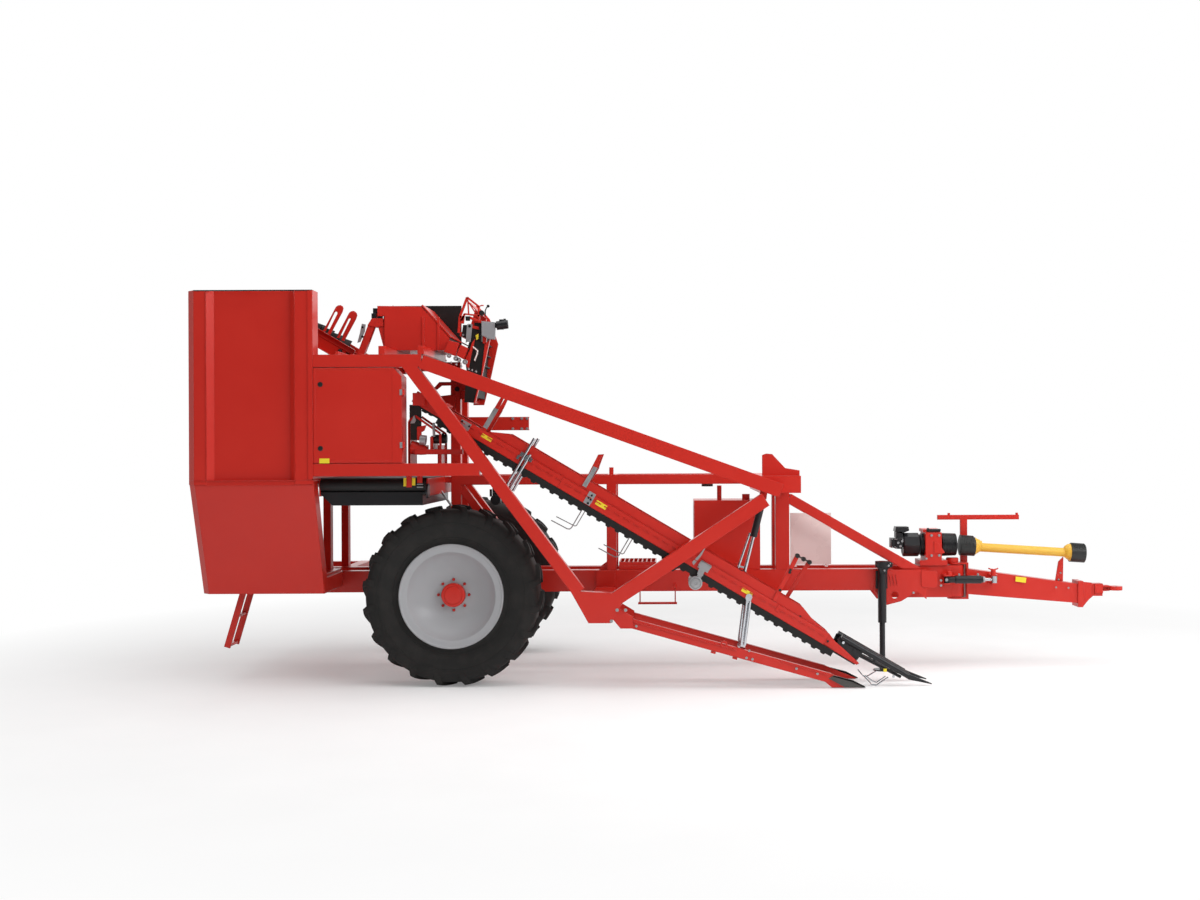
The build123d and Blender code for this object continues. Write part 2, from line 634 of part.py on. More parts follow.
with BuildPart() as hopper_sheet:
    block(-3065, -2254, hopper_far + fit, hopper_far + fit + 6, 3290, 3782)
hopper_sheet.part.label = "hopper_sheet"
export_step(hopper_sheet.part, "parts/hopper_sheet.step")

# ---- Tank, panel, step and walkway ----
with BuildPart() as side_panel:
    block(1172, 1603, -4, 4, beam_top + 28, 1603)
    for x in (1210, 1540):
        block(x, x + 30, -4, 26, beam_top, 1500)
        block(x, x + 30, 26, beam_inner_y + 20, beam_top, beam_top + 12)
side_panel.part.label = "side_panel"
export_step(side_panel.part, "parts/side_panel.step")

with BuildPart() as oil_tank:
    block(155, 837, -beam_outer_y + 10, beam_outer_y - 10, beam_top, 1750)
    with Locations((422, -120, 1750 + 75)):
        Cylinder(24, 150)
    with Locations((700, -120, 1750 + 30)):
        Cylinder(40, 60)
oil_tank.part.label = "oil_tank"
export_step(oil_tank.part, "parts/oil_tank.step")

with BuildPart() as side_step:
    block(-419, -28, -720, -640, 726, 742)
    for x in (-405, -52):
        block(x, x + 12, -720, -beam_outer_y, 880, 892)
        block(x, x + 12, -712, -700, 726, 892)
side_step.part.label = "side_step"
export_step(side_step.part, "parts/side_step.step")

# ---- Jack ----
jack_y = -beam_outer_y - 14 - 10 - jack_radius
with BuildPart() as jack_tube:
    with Locations((jack_x, jack_y, (jack_top + jack_tube_bottom) / 2)):
        Cylinder(jack_radius, jack_top - jack_tube_bottom)
    with Locations((jack_x, jack_y, (jack_top + jack_tube_bottom) / 2 - 10)):
        Cylinder(jack_leg_radius + pin_fit, jack_top - jack_tube_bottom, mode=Mode.SUBTRACT)
    with Locations((jack_x, jack_y, jack_top - 30)):
        Cylinder(72, 60)
    with Locations((jack_x, jack_y, jack_top - 60)):
        Cylinder(jack_leg_radius + pin_fit, 60, mode=Mode.SUBTRACT)
    block(jack_x - 60, jack_x + 60, jack_y + 30, -beam_outer_y - 14, beam_bottom + 20, beam_top - 20)
    with Locations((jack_x, jack_y, 800)):
        Cylinder(jack_leg_radius + pin_fit, 500, mode=Mode.SUBTRACT)
jack_tube.part.label = "jack_tube"
export_step(jack_tube.part, "parts/jack_tube.step")

with BuildPart() as jack_leg:
    with Locations((jack_x, jack_y, 340)):
        Cylinder(jack_leg_radius, 660)
    with Locations((jack_x, jack_y, 6)):
        Cylinder(95, 12)
jack_leg.part.label = "jack_leg"
export_step(jack_leg.part, "parts/jack_leg.step")

# ---- Drawbar ----
with BuildPart() as drawbar:
    with BuildSketch(Plane.XZ.offset(-90)):
        with BuildLine():
            Polyline((pivot_x + 110, 750), (pivot_x + 110, 1015), (4176, 852), (4176, 651), close=True)
        make_face()
    extrude(amount=180)
    for low in (neck_top + 6, neck_bottom - 26):
        block(pivot_x, pivot_x + 130, -80, 80, low, low + 20)
        with Locations((pivot_x, 0, low + 10)):
            Cylinder(80, 20)
    block(pivot_x + 105, pivot_x + 130, -80, 80, neck_bottom - 26, neck_top + 26)
    with Locations((pivot_x, 0, (neck_bottom + neck_top) / 2)):
        Cylinder(40, neck_top - neck_bottom + 60)
    block(4176, 4230, -110, 110, 609, 883)
    side_plate([(4230, 612), (4246, 612), (4366, 719), (4230, 719)], -8, 8)
    steer_clevis(steer_front_x, -80)
drawbar.part.label = "drawbar"
export_step(drawbar.part, "parts/drawbar.step")

hitch_eye_x = half_length - 75
with BuildPart() as hitch_eye:
    block(4230, 4450, -50, 50, 720, 850)
    block(4450, hitch_eye_x, -40, 40, 777, 817)
    with Locations((hitch_eye_x, 0, 797)):
        Cylinder(75, 40)
        Cylinder(25.5, 60, mode=Mode.SUBTRACT)
hitch_eye.part.label = "hitch_eye"
export_step(hitch_eye.part, "parts/hitch_eye.step")

# ---- Pump unit and drive shaft ----
pump_height = 1226
bracket_rear, bracket_end = 2574, 2742
with BuildPart() as pump_bracket:
    block(bracket_rear, bracket_end, -150, 150, 1110, 1400)
    block(bracket_rear - 60, bracket_end + 60, -150, 150, neck_top, 1110)
    block(bracket_rear - 20, bracket_end - 10, -120, 120, 1400, 1432)
pump_bracket.part.label = "pump_bracket"
export_step(pump_bracket.part, "parts/pump_bracket.step")

with BuildPart() as pump_unit:
    rod_between((2395, 0, pump_height + 26), (bracket_rear - fit, 0, pump_height + 26), 118)
    block(2262, 2400, -75, 75, 1147, 1310)
    block(2290, 2430, -62, 62, 1310, 1380)
    block(2280, 2420, -70, 70, 1380, 1454)
    # round guard over the input shaft, open to the front
    rod_between((bracket_end + fit, 0, pump_height + 20), (2920, 0, pump_height + 20), 122)
    rod_between((2800, 0, pump_height + 20), (2930, 0, pump_height + 20), 114, mode=Mode.SUBTRACT)
pump_unit.part.label = "pump_unit"
export_step(pump_unit.part, "parts/pump_unit.step")

shaft_run = Vector(1, 0, -shaft_fall).normalized()
shaft_side = Plane(origin=(shaft_rear, 0, shaft_height), x_dir=shaft_run, z_dir=(0, -1, 0))
shaft_length = (shaft_front - shaft_rear) / shaft_run.X
bell_length, bell_radius, cone_length = 152, 97, 62
with BuildPart() as drive_shaft:
    with BuildSketch(shaft_side):
        with BuildLine():
            Polyline((bell_length + fit, 0), (bell_length + fit, bell_radius - 8),
                     (bell_length + cone_length, shaft_radius),
                     (shaft_length - bell_length - cone_length, shaft_radius),
                     (shaft_length - bell_length - fit, bell_radius - 8),
                     (shaft_length - bell_length - fit, 0), close=True)
        make_face()
    revolve(axis=Axis((shaft_rear, 0, shaft_height), (shaft_run.X, 0, shaft_run.Z)))
drive_shaft.part.label = "drive_shaft"
export_step(drive_shaft.part, "parts/drive_shaft.step")

with BuildPart() as shaft_bells:
    for start in (0, shaft_length - bell_length):
        with BuildSketch(Plane(shaft_side.origin + shaft_run * start, z_dir=shaft_run)) as bell:
            Circle(bell_radius)
        extrude(bell.sketch, amount=bell_length)
shaft_bells.part.label = "shaft_bells"
export_step(shaft_bells.part, "parts/shaft_bells.step")

with BuildPart() as hose_rack:
    block(2755, 3620, 130, 170, 1519, 1569)
    block(2997, 3069, 130, 170, 1003, 1519)
    block(2997, 3069, 90, 170, 1003 - 60, 1003)
    # rest for the shaft; its tip reaches the tube's underside
    tip_x = 4052
    tip_z = shaft_height - shaft_fall * (tip_x - shaft_rear) - shaft_radius * hypot(1, shaft_fall) - fit
    side_plate([(3966, 882), (4046, 871), (tip_x, tip_z), (3999, 1079)], -8, 8)
hose_rack.part.label = "hose_rack"
export_step(hose_rack.part, "parts/hose_rack.step")

# ---- Steering cylinder ----
with BuildPart() as steer_barrel:
    with Locations((steer_rear_x, steer_y, steer_z)):
        Cylinder(26, steer_eye - 2 * fit)
    rod_between((steer_rear_x + 15, steer_y, steer_z), (3150, steer_y, steer_z), 34)
    rod_between((2850, steer_y, steer_z), (3160, steer_y, steer_z), 16 + pin_fit, mode=Mode.SUBTRACT)
    with Locations((steer_rear_x, steer_y, steer_z)):
        Cylinder(steer_pin + pin_fit, 120, mode=Mode.SUBTRACT)
steer_barrel.part.label = "steer_barrel"
export_step(steer_barrel.part, "parts/steer_barrel.step")

with BuildPart() as steer_rod:
    rod_between((2950, steer_y, steer_z), (steer_front_x, steer_y, steer_z), 16)
    with Locations((steer_front_x, steer_y, steer_z)):
        Cylinder(steer_pin + steer_drift + 11, steer_eye - 2 * fit)
        Cylinder(steer_pin + steer_drift, 120, mode=Mode.SUBTRACT)
steer_rod.part.label = "steer_rod"
export_step(steer_rod.part, "parts/steer_rod.step")

# ---- Lifting unit ----
belt_low = belt_bottom + lug_drop
channel_end = lift_length - 380
with BuildPart(lift_frame) as lift_channels:
    for side in (-1, 1):
        low, high = sorted((side * (lift_half_width - plate), side * lift_half_width))
        block(-60, channel_end, low, high, channel_low, channel_top)
        low, high = sorted((side * (lift_half_width - 40), side * lift_half_width))
        block(-60, channel_end, low, high, channel_top - plate, channel_top)
    ear_u, ear_w = cylinder_foot
    block(ear_u - 90, ear_u + 90, -lift_half_width + 27, lift_half_width - 27, channel_top, channel_top + 16)
    for low in (-40, 28):
        block(ear_u - 30, ear_u + 30, low, low + 12, channel_top + 16, ear_w + 30)
    side_disc(ear_u, ear_w, cylinder_pin, lift_y - 40, lift_y + 40, lift_side)
    for u in range(200, int(channel_end), 900):
        block(u, u + 60, -lift_half_width + 20 + plate + fit, lift_half_width - 20 - plate - fit,
              channel_top, channel_top + 30)
    side_disc(0, 0, lift_pin_radius + pin_fit, lift_y - 300, lift_y + 300, lift_side, Mode.SUBTRACT)
lift_channels.part.label = "lift_channels"
export_step(lift_channels.part, "parts/lift_channels.step")

with BuildPart() as lift_guards:
    for side in (-1, 1):
        outer = lift_y + side * (lift_half_width - 20)
        low, high = sorted((outer, outer - side * plate))
        side_plate([(700, channel_top), (900, guard_top), (channel_end - 345, guard_top),
                    (channel_end - 185, 89), (channel_end + 3, channel_top + 3), (channel_end + 80, 27),
                    (channel_end + 185, 7), (lift_length + 13, -38), (lift_length - 3, -66),
                    (channel_end + fit, channel_low), (channel_end + fit, channel_top),
                    (700, channel_top)], low, high, lift_side)
lift_guards.part.label = "lift_guards"
export_step(lift_guards.part, "parts/lift_guards.step")

belt_outer = lift_half_width - 20 - plate - fit
with BuildPart(lift_frame) as lift_belts:
    for side in (-1, 1):
        low, high = sorted((side * 8, side * belt_outer))
        block(45, lift_length - 20, low, high, belt_low, belt_low + belt_height - fit)
        low, high = sorted((side * 30, side * (belt_outer - 20)))
        for row in range(int((lift_length - 160) / lug_pitch)):
            u = 60 + row * lug_pitch
            block(u, u + 42, low, high, belt_bottom, belt_low)
            block(u + 74, u + 100, low, high, belt_bottom + 4, belt_low)
lift_belts.part.label = "lift_belts"
export_step(lift_belts.part, "parts/lift_belts.step")

# square bearing blocks that the lifting unit swings on
bearing_block = 100
with BuildPart() as lift_bosses:
    for side in (-1, 1):
        inner, outer = sorted((lift_y + side * (lift_half_width + fit),
                               lift_y + side * (lift_half_width + 40)))
        side_bar((-bearing_block / 2, 0), (bearing_block / 2, 0), bearing_block, inner, outer, lift_side)
        side_disc(0, 0, lift_pin_radius + pin_fit, inner, outer, lift_side, Mode.SUBTRACT)
lift_bosses.part.label = "lift_bosses"
export_step(lift_bosses.part, "parts/lift_bosses.step")

with BuildPart() as lift_shaft:
    side_disc(0, 0, lift_pin_radius, truss_far_y, -chord_y - 50 - 20 - fit, lift_side)
    side_plate([(lift_x - 60, lift_z - 60), (lift_x - 60, lift_z + 60), (lift_x + 60, lift_z + 60),
                (lift_x + 60, lift_z - 60)], truss_far_y, truss_far_y + 12)
lift_shaft.part.label = "lift_shaft"
export_step(lift_shaft.part, "parts/lift_shaft.step")

# flat bars that stand on the guards: u at the foot, foot and head height, length along the unit
lever_bars = ((650, 80, 425, 46), (1770, 80, 420, 46), (3950, 90, 540, 44))
with BuildPart(lift_frame) as lift_levers:
    for u, foot, head, width in lever_bars:
        for side in (-1, 1):
            low, high = sorted((side * (lift_half_width - 20 + fit), side * (lift_half_width - 20 + 12)))
            block(u, u + width, low, high, channel_top + fit, head)
    crank_u = lever_bars[-1][0] + 22
    side_disc(crank_u, lever_bars[-1][2] - 20, 12, lift_y - lift_half_width + 8,
              lift_y + lift_half_width - 8, lift_side)
lift_levers.part.label = "lift_levers"
export_step(lift_levers.part, "parts/lift_levers.step")

# belt tensioner: a roller under the belts, carried by a clamp on the channel
tensioner_u, roller_w, tension_roller = 3165, -172, 66
with BuildPart(lift_frame) as lift_tensioner:
    near = -lift_half_width - fit
    block(tensioner_u - 60, tensioner_u + 50, near - 26, near, -30, 48)
    block(tensioner_u - 22, tensioner_u + 22, near - 14, near, roller_w, -30)
    side_disc(tensioner_u, roller_w, tension_roller, lift_y - lift_half_width - 14,
              lift_y + lift_half_width - 60, lift_side)
lift_tensioner.part.label = "lift_tensioner"
export_step(lift_tensioner.part, "parts/lift_tensioner.step")

# crop divider at the front: two long tubes each side, the outer one further forward
# inset from the side, start and end along the unit, height at both ends, depth
divider_tubes = (
    (30, lift_length - 240, lift_length + 610, 95, 112, 40),
    (90, lift_length - 250, lift_length + 560, 118, 130, 30))
with BuildPart(lift_frame) as divider_bars:
    for side in (-1, 1):
        for inset, u_low, u_high, w_low, w_high, depth in divider_tubes:
            y = lift_y + side * (lift_half_width - inset)
            side_bar((u_low, w_low), (u_high, w_high), depth, y - 17, y + 17, lift_side)
            side_bar((u_high - 10, w_high), (u_high + 110, w_high + 36), 14, y - 17, y + 17, lift_side)
        y = lift_y + side * (lift_half_width - 60)
        side_plate([(lift_length - 150, 112), (lift_length + 420, 118), (lift_length + 330, 20),
                    (lift_length + 120, -10), (lift_length + 30, 30)], y - 30, y + 30, lift_side)
        # bracket against the outside of the guard, and the short feed roller beside it
        low, high = sorted((lift_y + side * (lift_half_width - 20 + fit),
                            lift_y + side * (lift_half_width - 8)))
        side_plate([(lift_length - 330, 40), (lift_length - 240, 110), (lift_length - 120, 110),
                    (lift_length - 60, -30), (lift_length - 200, -30)], low, high, lift_side)
        low, high = sorted((lift_y + side * (lift_half_width - 100), lift_y + side * (lift_half_width - 20)))
        side_disc(lift_length - 180, 76, 34, low, high, lift_side)
divider_bars.part.label = "divider_bars"
export_step(divider_bars.part, "parts/divider_bars.step")

# ---- Share arms, hinged to the truss node and hung from the lifting unit ----
with BuildPart() as share_arms:
    for low, high in ((near_arm_y, near_arm_y + arm_width), (far_arm_y, far_arm_y + arm_width)):
        side_bar(arm_pivot, (1420, 96), 90, low, high)
        side_plate([(1360, 70), (1400, 150), (1730, 14), (1733, 6), (1440, 6)], low + 12, high - 12)
        side_disc(arm_pivot[0], arm_pivot[1], 60, low, high)
        side_disc(arm_pivot[0], arm_pivot[1], arm_pin_radius + pin_fit, low, high, mode=Mode.SUBTRACT)
share_arms.part.label = "share_arms"
export_step(share_arms.part, "parts/share_arms.step")

link_top, link_low = (657, 862), (590, 355)
with BuildPart() as link_rods:
    for side in (-1, 1):
        inner = lift_y + side * (lift_half_width + fit)
        arm_face = near_arm_y + arm_width + fit if side < 0 else far_arm_y - fit
        low, high = sorted((inner + side * 18, inner + side * 30))
        side_bar(link_top, link_low, 60, low, high)
        for spot, stop in ((link_top, inner), (link_low, arm_face)):
            low, high = sorted((stop, inner + side * 24))
            side_disc(spot[0], spot[1], 14, low, high)
link_rods.part.label = "link_rods"
export_step(link_rods.part, "parts/link_rods.step")

# ---- Lift cylinder, hung from the portal and pinned between ears on the lifting unit ----
with BuildPart() as lift_barrel:
    side_disc(cylinder_top[0], cylinder_top[1], 28, lift_y - 27.7, lift_y + 27.7)
    rod_between(cylinder_point(38), cylinder_point(400), 34)
    side_bar((cylinder_top[0], cylinder_top[1]), cylinder_point(60)[::2], 40, lift_y - 20, lift_y + 20)
    rod_between(cylinder_point(60), cylinder_point(410), 16 + pin_fit, mode=Mode.SUBTRACT)
    side_disc(cylinder_top[0], cylinder_top[1], cylinder_pin + pin_fit, lift_y - 50, lift_y + 50,
              mode=Mode.SUBTRACT)
lift_barrel.part.label = "lift_barrel"
export_step(lift_barrel.part, "parts/lift_barrel.step")

with BuildPart() as lift_rod:
    rod_between(cylinder_point(345), cylinder_point(cylinder_reach), 16)
    side_disc(cylinder_low[0], cylinder_low[1], cylinder_pin + cylinder_drift + 10,
              lift_y - 27.7, lift_y + 27.7)
    side_disc(cylinder_low[0], cylinder_low[1], cylinder_pin + cylinder_drift, lift_y - 50, lift_y + 50,
              mode=Mode.SUBTRACT)
lift_rod.part.label = "lift_rod"
export_step(lift_rod.part, "parts/lift_rod.step")

# ---- Steep elevator in front of the hopper ----
steep_near, steep_far = -900, -230
steep_outline = [
    (-2092, 3790), (-2196, 3440), (-2150, 3400), (-2100, 3060), (-2130, 2746), (-2018, 2746),
    (-1948, 3023), (-1869, 3379), (-1955, 3637)]
with BuildPart() as steep_elevator:
    for y in (steep_near, steep_far - 8):
        side_plate(steep_outline, y, y + 8)
        side_plate([(-2092, 3740), (-2150, 3560), (-1985, 3610)], y, y + 8, mode=Mode.SUBTRACT)
    side_bar((-2092, 3760), (-1985, 3640), 8, steep_near + 8, steep_far - 8)
    block(-2110, -2070, steep_near + 8, steep_far - 8, 2760, 2800)
    block(-2170, -2130, steep_near + 8, steep_far - 8, 3410, 3450)
    block(rear_post_x + 50 + fit, -2090, -chord_y - 50, steep_far, 2900, 2980)
steep_elevator.part.label = "steep_elevator"
export_step(steep_elevator.part, "parts/steep_elevator.step")

with BuildPart() as elevator_belts:
    # steep belt with flights on its front run
    side_bar((-2052, 2810), (-1985, 3540), 84, steep_near + 8 + fit, steep_far - 8 - fit)
    for step in range(6):
        z = 2900 + step * 110
        x = -2052 + (z - 2810) * 67 / 730
        block(x + 40, x + 74, steep_near + 24, steep_far - 24, z, z + 12)
    # belt of the rear elevator, round its two shafts
    side_bar((-3840, 3560), (-3420, 3311), 90, rear_near + 10 + fit, rear_far - fit)
    for end in rear_shafts:
        side_disc(end[0], end[1], 30 + fit, rear_near, rear_far + 10, mode=Mode.SUBTRACT)
    for step in range(5):
        x = -3800 + step * 90
        side_bar((x, 3585 - step * 53), (x + 30, 3637 - step * 53), 12, rear_near + 30, rear_far - 20)
elevator_belts.part.label = "elevator_belts"
export_step(elevator_belts.part, "parts/elevator_belts.step")

with BuildPart() as elevator_motor:
    block(-1950, -1800, steep_near - 60, steep_near - fit, 3370, 3560)
    side_bar((-1860, 3500), (-1700, 3520), 96, steep_near - 50, steep_near - 10)
elevator_motor.part.label = "elevator_motor"
export_step(elevator_motor.part, "parts/elevator_motor.step")
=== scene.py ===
# Trailed root crop harvester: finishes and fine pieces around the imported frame.
import math

import bmesh
import bpy
from mathutils import Matrix, Vector


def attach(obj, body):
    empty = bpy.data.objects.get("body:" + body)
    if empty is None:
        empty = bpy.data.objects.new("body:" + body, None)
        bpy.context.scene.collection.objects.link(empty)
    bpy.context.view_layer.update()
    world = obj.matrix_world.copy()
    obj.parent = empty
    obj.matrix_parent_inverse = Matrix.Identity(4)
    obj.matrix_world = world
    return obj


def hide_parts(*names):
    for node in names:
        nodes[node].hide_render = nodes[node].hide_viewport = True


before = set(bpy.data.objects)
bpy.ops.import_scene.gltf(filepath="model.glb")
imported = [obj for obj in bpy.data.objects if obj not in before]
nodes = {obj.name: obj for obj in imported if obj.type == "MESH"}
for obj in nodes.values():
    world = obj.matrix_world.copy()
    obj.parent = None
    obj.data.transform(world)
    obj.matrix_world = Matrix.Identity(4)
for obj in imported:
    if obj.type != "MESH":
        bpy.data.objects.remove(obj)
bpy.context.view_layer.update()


def hexColour(code):
    # sRGB hex to the linear RGBA that the sockets take
    channels = [int(code[i:i + 2], 16) / 255 for i in (1, 3, 5)]
    linear = [c / 12.92 if c <= 0.04045 else ((c + 0.055) / 1.055) ** 2.4 for c in channels]
    return (*linear, 1)


def perMm(size):
    return 1000 / size          # pattern scale for a feature this many millimetres wide


def setSockets(tree, node, values=None, links=None):
    for socket, value in (values or {}).items():
        node.inputs[socket].default_value = value
    for socket, source in (links or {}).items():
        tree.links.new(source, node.inputs[socket])


def addNode(tree, kind, settings=None, values=None, links=None):
    node = tree.nodes.new(kind)
    for name, value in (settings or {}).items():
        setattr(node, name, value)
    setSockets(tree, node, values, links)
    return node


def newMaterial(name):
    material = bpy.data.materials.new(name)
    material.use_nodes = True
    tree = material.node_tree
    tree.nodes.clear()
    output = addNode(tree, "ShaderNodeOutputMaterial")
    shader = addNode(tree, "ShaderNodeBsdfPrincipled")
    tree.links.new(shader.outputs["BSDF"], output.inputs["Surface"])
    return material, tree, shader


# what each painted finish may change
enamel = {
    "cloudMm": 420,             # slow drift of shade over a panel
    "peelMm": 3.5,              # orange peel left by the spray gun
    "peelStrength": 0.25,
    "peelHeight": 0.00008,      # in metres, as every bump height here
    "cornerMm": 13,             # radius that the eye reads on a folded or rolled edge
    "glossDrift": (-0.05, 0.08),
    "specular": 0.32,
    "coatRoughness": 0.12,
}


def makeEnamel(name, colour, paler, roughness, coat):
    # Two-pack enamel sprayed over primed steel. Even strong colour, a soft wide gloss with a thin
    # clear look on top, a faint orange peel, and rounded edges that catch the light.
    material, tree, shader = newMaterial(name)
    smoother, rougher = enamel["glossDrift"]
    onSurface = {"Vector": addNode(tree, "ShaderNodeTexCoord").outputs["Object"]}
    cloud = addNode(tree, "ShaderNodeTexNoise",
                    values={"Scale": perMm(enamel["cloudMm"]), "Detail": 3}, links=onSurface)
    shade = addNode(tree, "ShaderNodeMix", {"data_type": "RGBA"},
                    {6: hexColour(colour), 7: hexColour(paler)}, {0: cloud.outputs["Fac"]})
    peel = addNode(tree, "ShaderNodeTexNoise",
                   values={"Scale": perMm(enamel["peelMm"]), "Detail": 1}, links=onSurface)
    corner = addNode(tree, "ShaderNodeBevel", {"samples": 4},
                     {"Radius": enamel["cornerMm"] / 1000})
    bump = addNode(tree, "ShaderNodeBump",
                   values={"Strength": enamel["peelStrength"], "Distance": enamel["peelHeight"]},
                   links={"Height": peel.outputs["Fac"], "Normal": corner.outputs["Normal"]})
    gloss = addNode(tree, "ShaderNodeMapRange",
                    values={"To Min": roughness + smoother, "To Max": roughness + rougher},
                    links={"Value": cloud.outputs["Fac"]})
    setSockets(tree, shader,
               {"IOR": 1.5, "Specular IOR Level": enamel["specular"], "Coat Weight": coat,
                "Coat Roughness": enamel["coatRoughness"]},
               {"Base Color": shade.outputs[2], "Roughness": gloss.outputs["Result"],
                "Normal": bump.outputs["Normal"]})
    return material


rubber = {
    "grainMm": 2.2, "grainStrength": 0.5, "grainHeight": 0.0003,
    "dustMm": 160,              # patches of dry dust
    "dustEdge": (0.45, 0.75), "dustCover": 0.8, "glossDrift": (-0.08, 0.1), "specular": 0.4,
}


def makeRubber(name, colour, dusty, roughness):
    # Vulcanised rubber pressed in a mould. Nearly black, a dull broken sheen, a fine grain,
    # and a little dry dust that greys it in patches.
    material, tree, shader = newMaterial(name)
    bare, dusted = rubber["dustEdge"]
    smoother, rougher = rubber["glossDrift"]
    onSurface = {"Vector": addNode(tree, "ShaderNodeTexCoord").outputs["Object"]}
    dust = addNode(tree, "ShaderNodeTexNoise",
                   values={"Scale": perMm(rubber["dustMm"]), "Detail": 5, "Roughness": 0.65},
                   links=onSurface)
    mask = addNode(tree, "ShaderNodeMapRange",
                   values={"From Min": bare, "From Max": dusted, "To Max": rubber["dustCover"]},
                   links={"Value": dust.outputs["Fac"]})
    shade = addNode(tree, "ShaderNodeMix", {"data_type": "RGBA"},
                    {6: hexColour(colour), 7: hexColour(dusty)}, {0: mask.outputs["Result"]})
    grain = addNode(tree, "ShaderNodeTexNoise",
                    values={"Scale": perMm(rubber["grainMm"]), "Detail": 2}, links=onSurface)
    bump = addNode(tree, "ShaderNodeBump",
                   values={"Strength": rubber["grainStrength"], "Distance": rubber["grainHeight"]},
                   links={"Height": grain.outputs["Fac"]})
    rough = addNode(tree, "ShaderNodeMapRange",
                    values={"To Min": roughness + smoother, "To Max": roughness + rougher},
                    links={"Value": dust.outputs["Fac"]})
    setSockets(tree, shader, {"IOR": 1.52, "Specular IOR Level": rubber["specular"]},
               {"Base Color": shade.outputs[2], "Roughness": rough.outputs["Result"],
                "Normal": bump.outputs["Normal"]})
    return material


zinc = {
    "spangleMm": 14, "soilMm": 90, "glossDrift": 0.1,
    "metallic": 0.55,           # half hidden by the film of grey oxide
}


def makeZinc(name, colour, dull, roughness):
    # Mild steel dipped in hot zinc. Grey metal with crystal flowers a centimetre or so across,
    # each reflecting at its own slightly different roughness. In a darker grey it is also the
    # steel that soil has scoured, with the same broken sheen.
    material, tree, shader = newMaterial(name)
    onSurface = {"Vector": addNode(tree, "ShaderNodeTexCoord").outputs["Object"]}
    flowers = addNode(tree, "ShaderNodeTexVoronoi",
                      values={"Scale": perMm(zinc["spangleMm"])}, links=onSurface)
    soil = addNode(tree, "ShaderNodeTexNoise",
                   values={"Scale": perMm(zinc["soilMm"]), "Detail": 4}, links=onSurface)
    value = addNode(tree, "ShaderNodeSeparateColor", links={"Color": flowers.outputs["Color"]})
    shade = addNode(tree, "ShaderNodeMix", {"data_type": "RGBA"},
                    {6: hexColour(colour), 7: hexColour(dull)}, {0: soil.outputs["Fac"]})
    rough = addNode(tree, "ShaderNodeMapRange",
                    values={"To Min": roughness - zinc["glossDrift"],
                            "To Max": roughness + zinc["glossDrift"]},
                    links={"Value": value.outputs["Red"]})
    setSockets(tree, shader, {"Metallic": zinc["metallic"]},
               {"Base Color": shade.outputs[2], "Roughness": rough.outputs["Result"]})
    return material


chrome = {"cloudMm": 6, "colour": "#c9ccd1", "roughness": (0.06, 0.2)}


def makeChrome(name):
    # Hard chrome ground and polished on a steel bar: bright, blue-white, with a slight cloud in
    # its polish that breaks up what it mirrors.
    material, tree, shader = newMaterial(name)
    polished, clouded = chrome["roughness"]
    onSurface = {"Vector": addNode(tree, "ShaderNodeTexCoord").outputs["Object"]}
    cloud = addNode(tree, "ShaderNodeTexNoise",
                    values={"Scale": perMm(chrome["cloudMm"]), "Detail": 2}, links=onSurface)
    rough = addNode(tree, "ShaderNodeMapRange",
                    values={"To Min": polished, "To Max": clouded},
                    links={"Value": cloud.outputs["Fac"]})
    setSockets(tree, shader, {"Base Color": hexColour(chrome["colour"]), "Metallic": 1},
               {"Roughness": rough.outputs["Result"]})
    return material


plastic = {
    "grainMm": 1.6, "grainStrength": 0.3, "grainHeight": 0.0001,
    "fadeMm": 240,              # patches that the sun has bleached
    "glossDrift": (-0.05, 0.1),
}


def makePlastic(name, colour, faded, roughness):
    # Polyethylene moulded in a textured tool: a waxy, even colour that sun has bleached in
    # patches, with a fine leathery grain. The pale sheet and the vinyl labels are drawn with it
    # too, and so is the bent handle, whose pale colour is a painted highlight on red paint.
    material, tree, shader = newMaterial(name)
    smoother, rougher = plastic["glossDrift"]
    onSurface = {"Vector": addNode(tree, "ShaderNodeTexCoord").outputs["Object"]}
    fade = addNode(tree, "ShaderNodeTexNoise",
                   values={"Scale": perMm(plastic["fadeMm"]), "Detail": 4}, links=onSurface)
    shade = addNode(tree, "ShaderNodeMix", {"data_type": "RGBA"},
                    {6: hexColour(colour), 7: hexColour(faded)}, {0: fade.outputs["Fac"]})
    grain = addNode(tree, "ShaderNodeTexNoise", values={"Scale": perMm(plastic["grainMm"])},
                    links=onSurface)
    bump = addNode(tree, "ShaderNodeBump",
                   values={"Strength": plastic["grainStrength"],
                           "Distance": plastic["grainHeight"]},
                   links={"Height": grain.outputs["Fac"]})
    rough = addNode(tree, "ShaderNodeMapRange",
                    values={"To Min": roughness + smoother, "To Max": roughness + rougher},
                    links={"Value": fade.outputs["Fac"]})
    setSockets(tree, shader, {"IOR": 1.51},
               {"Base Color": shade.outputs[2], "Roughness": rough.outputs["Result"],
                "Normal": bump.outputs["Normal"]})
    return material


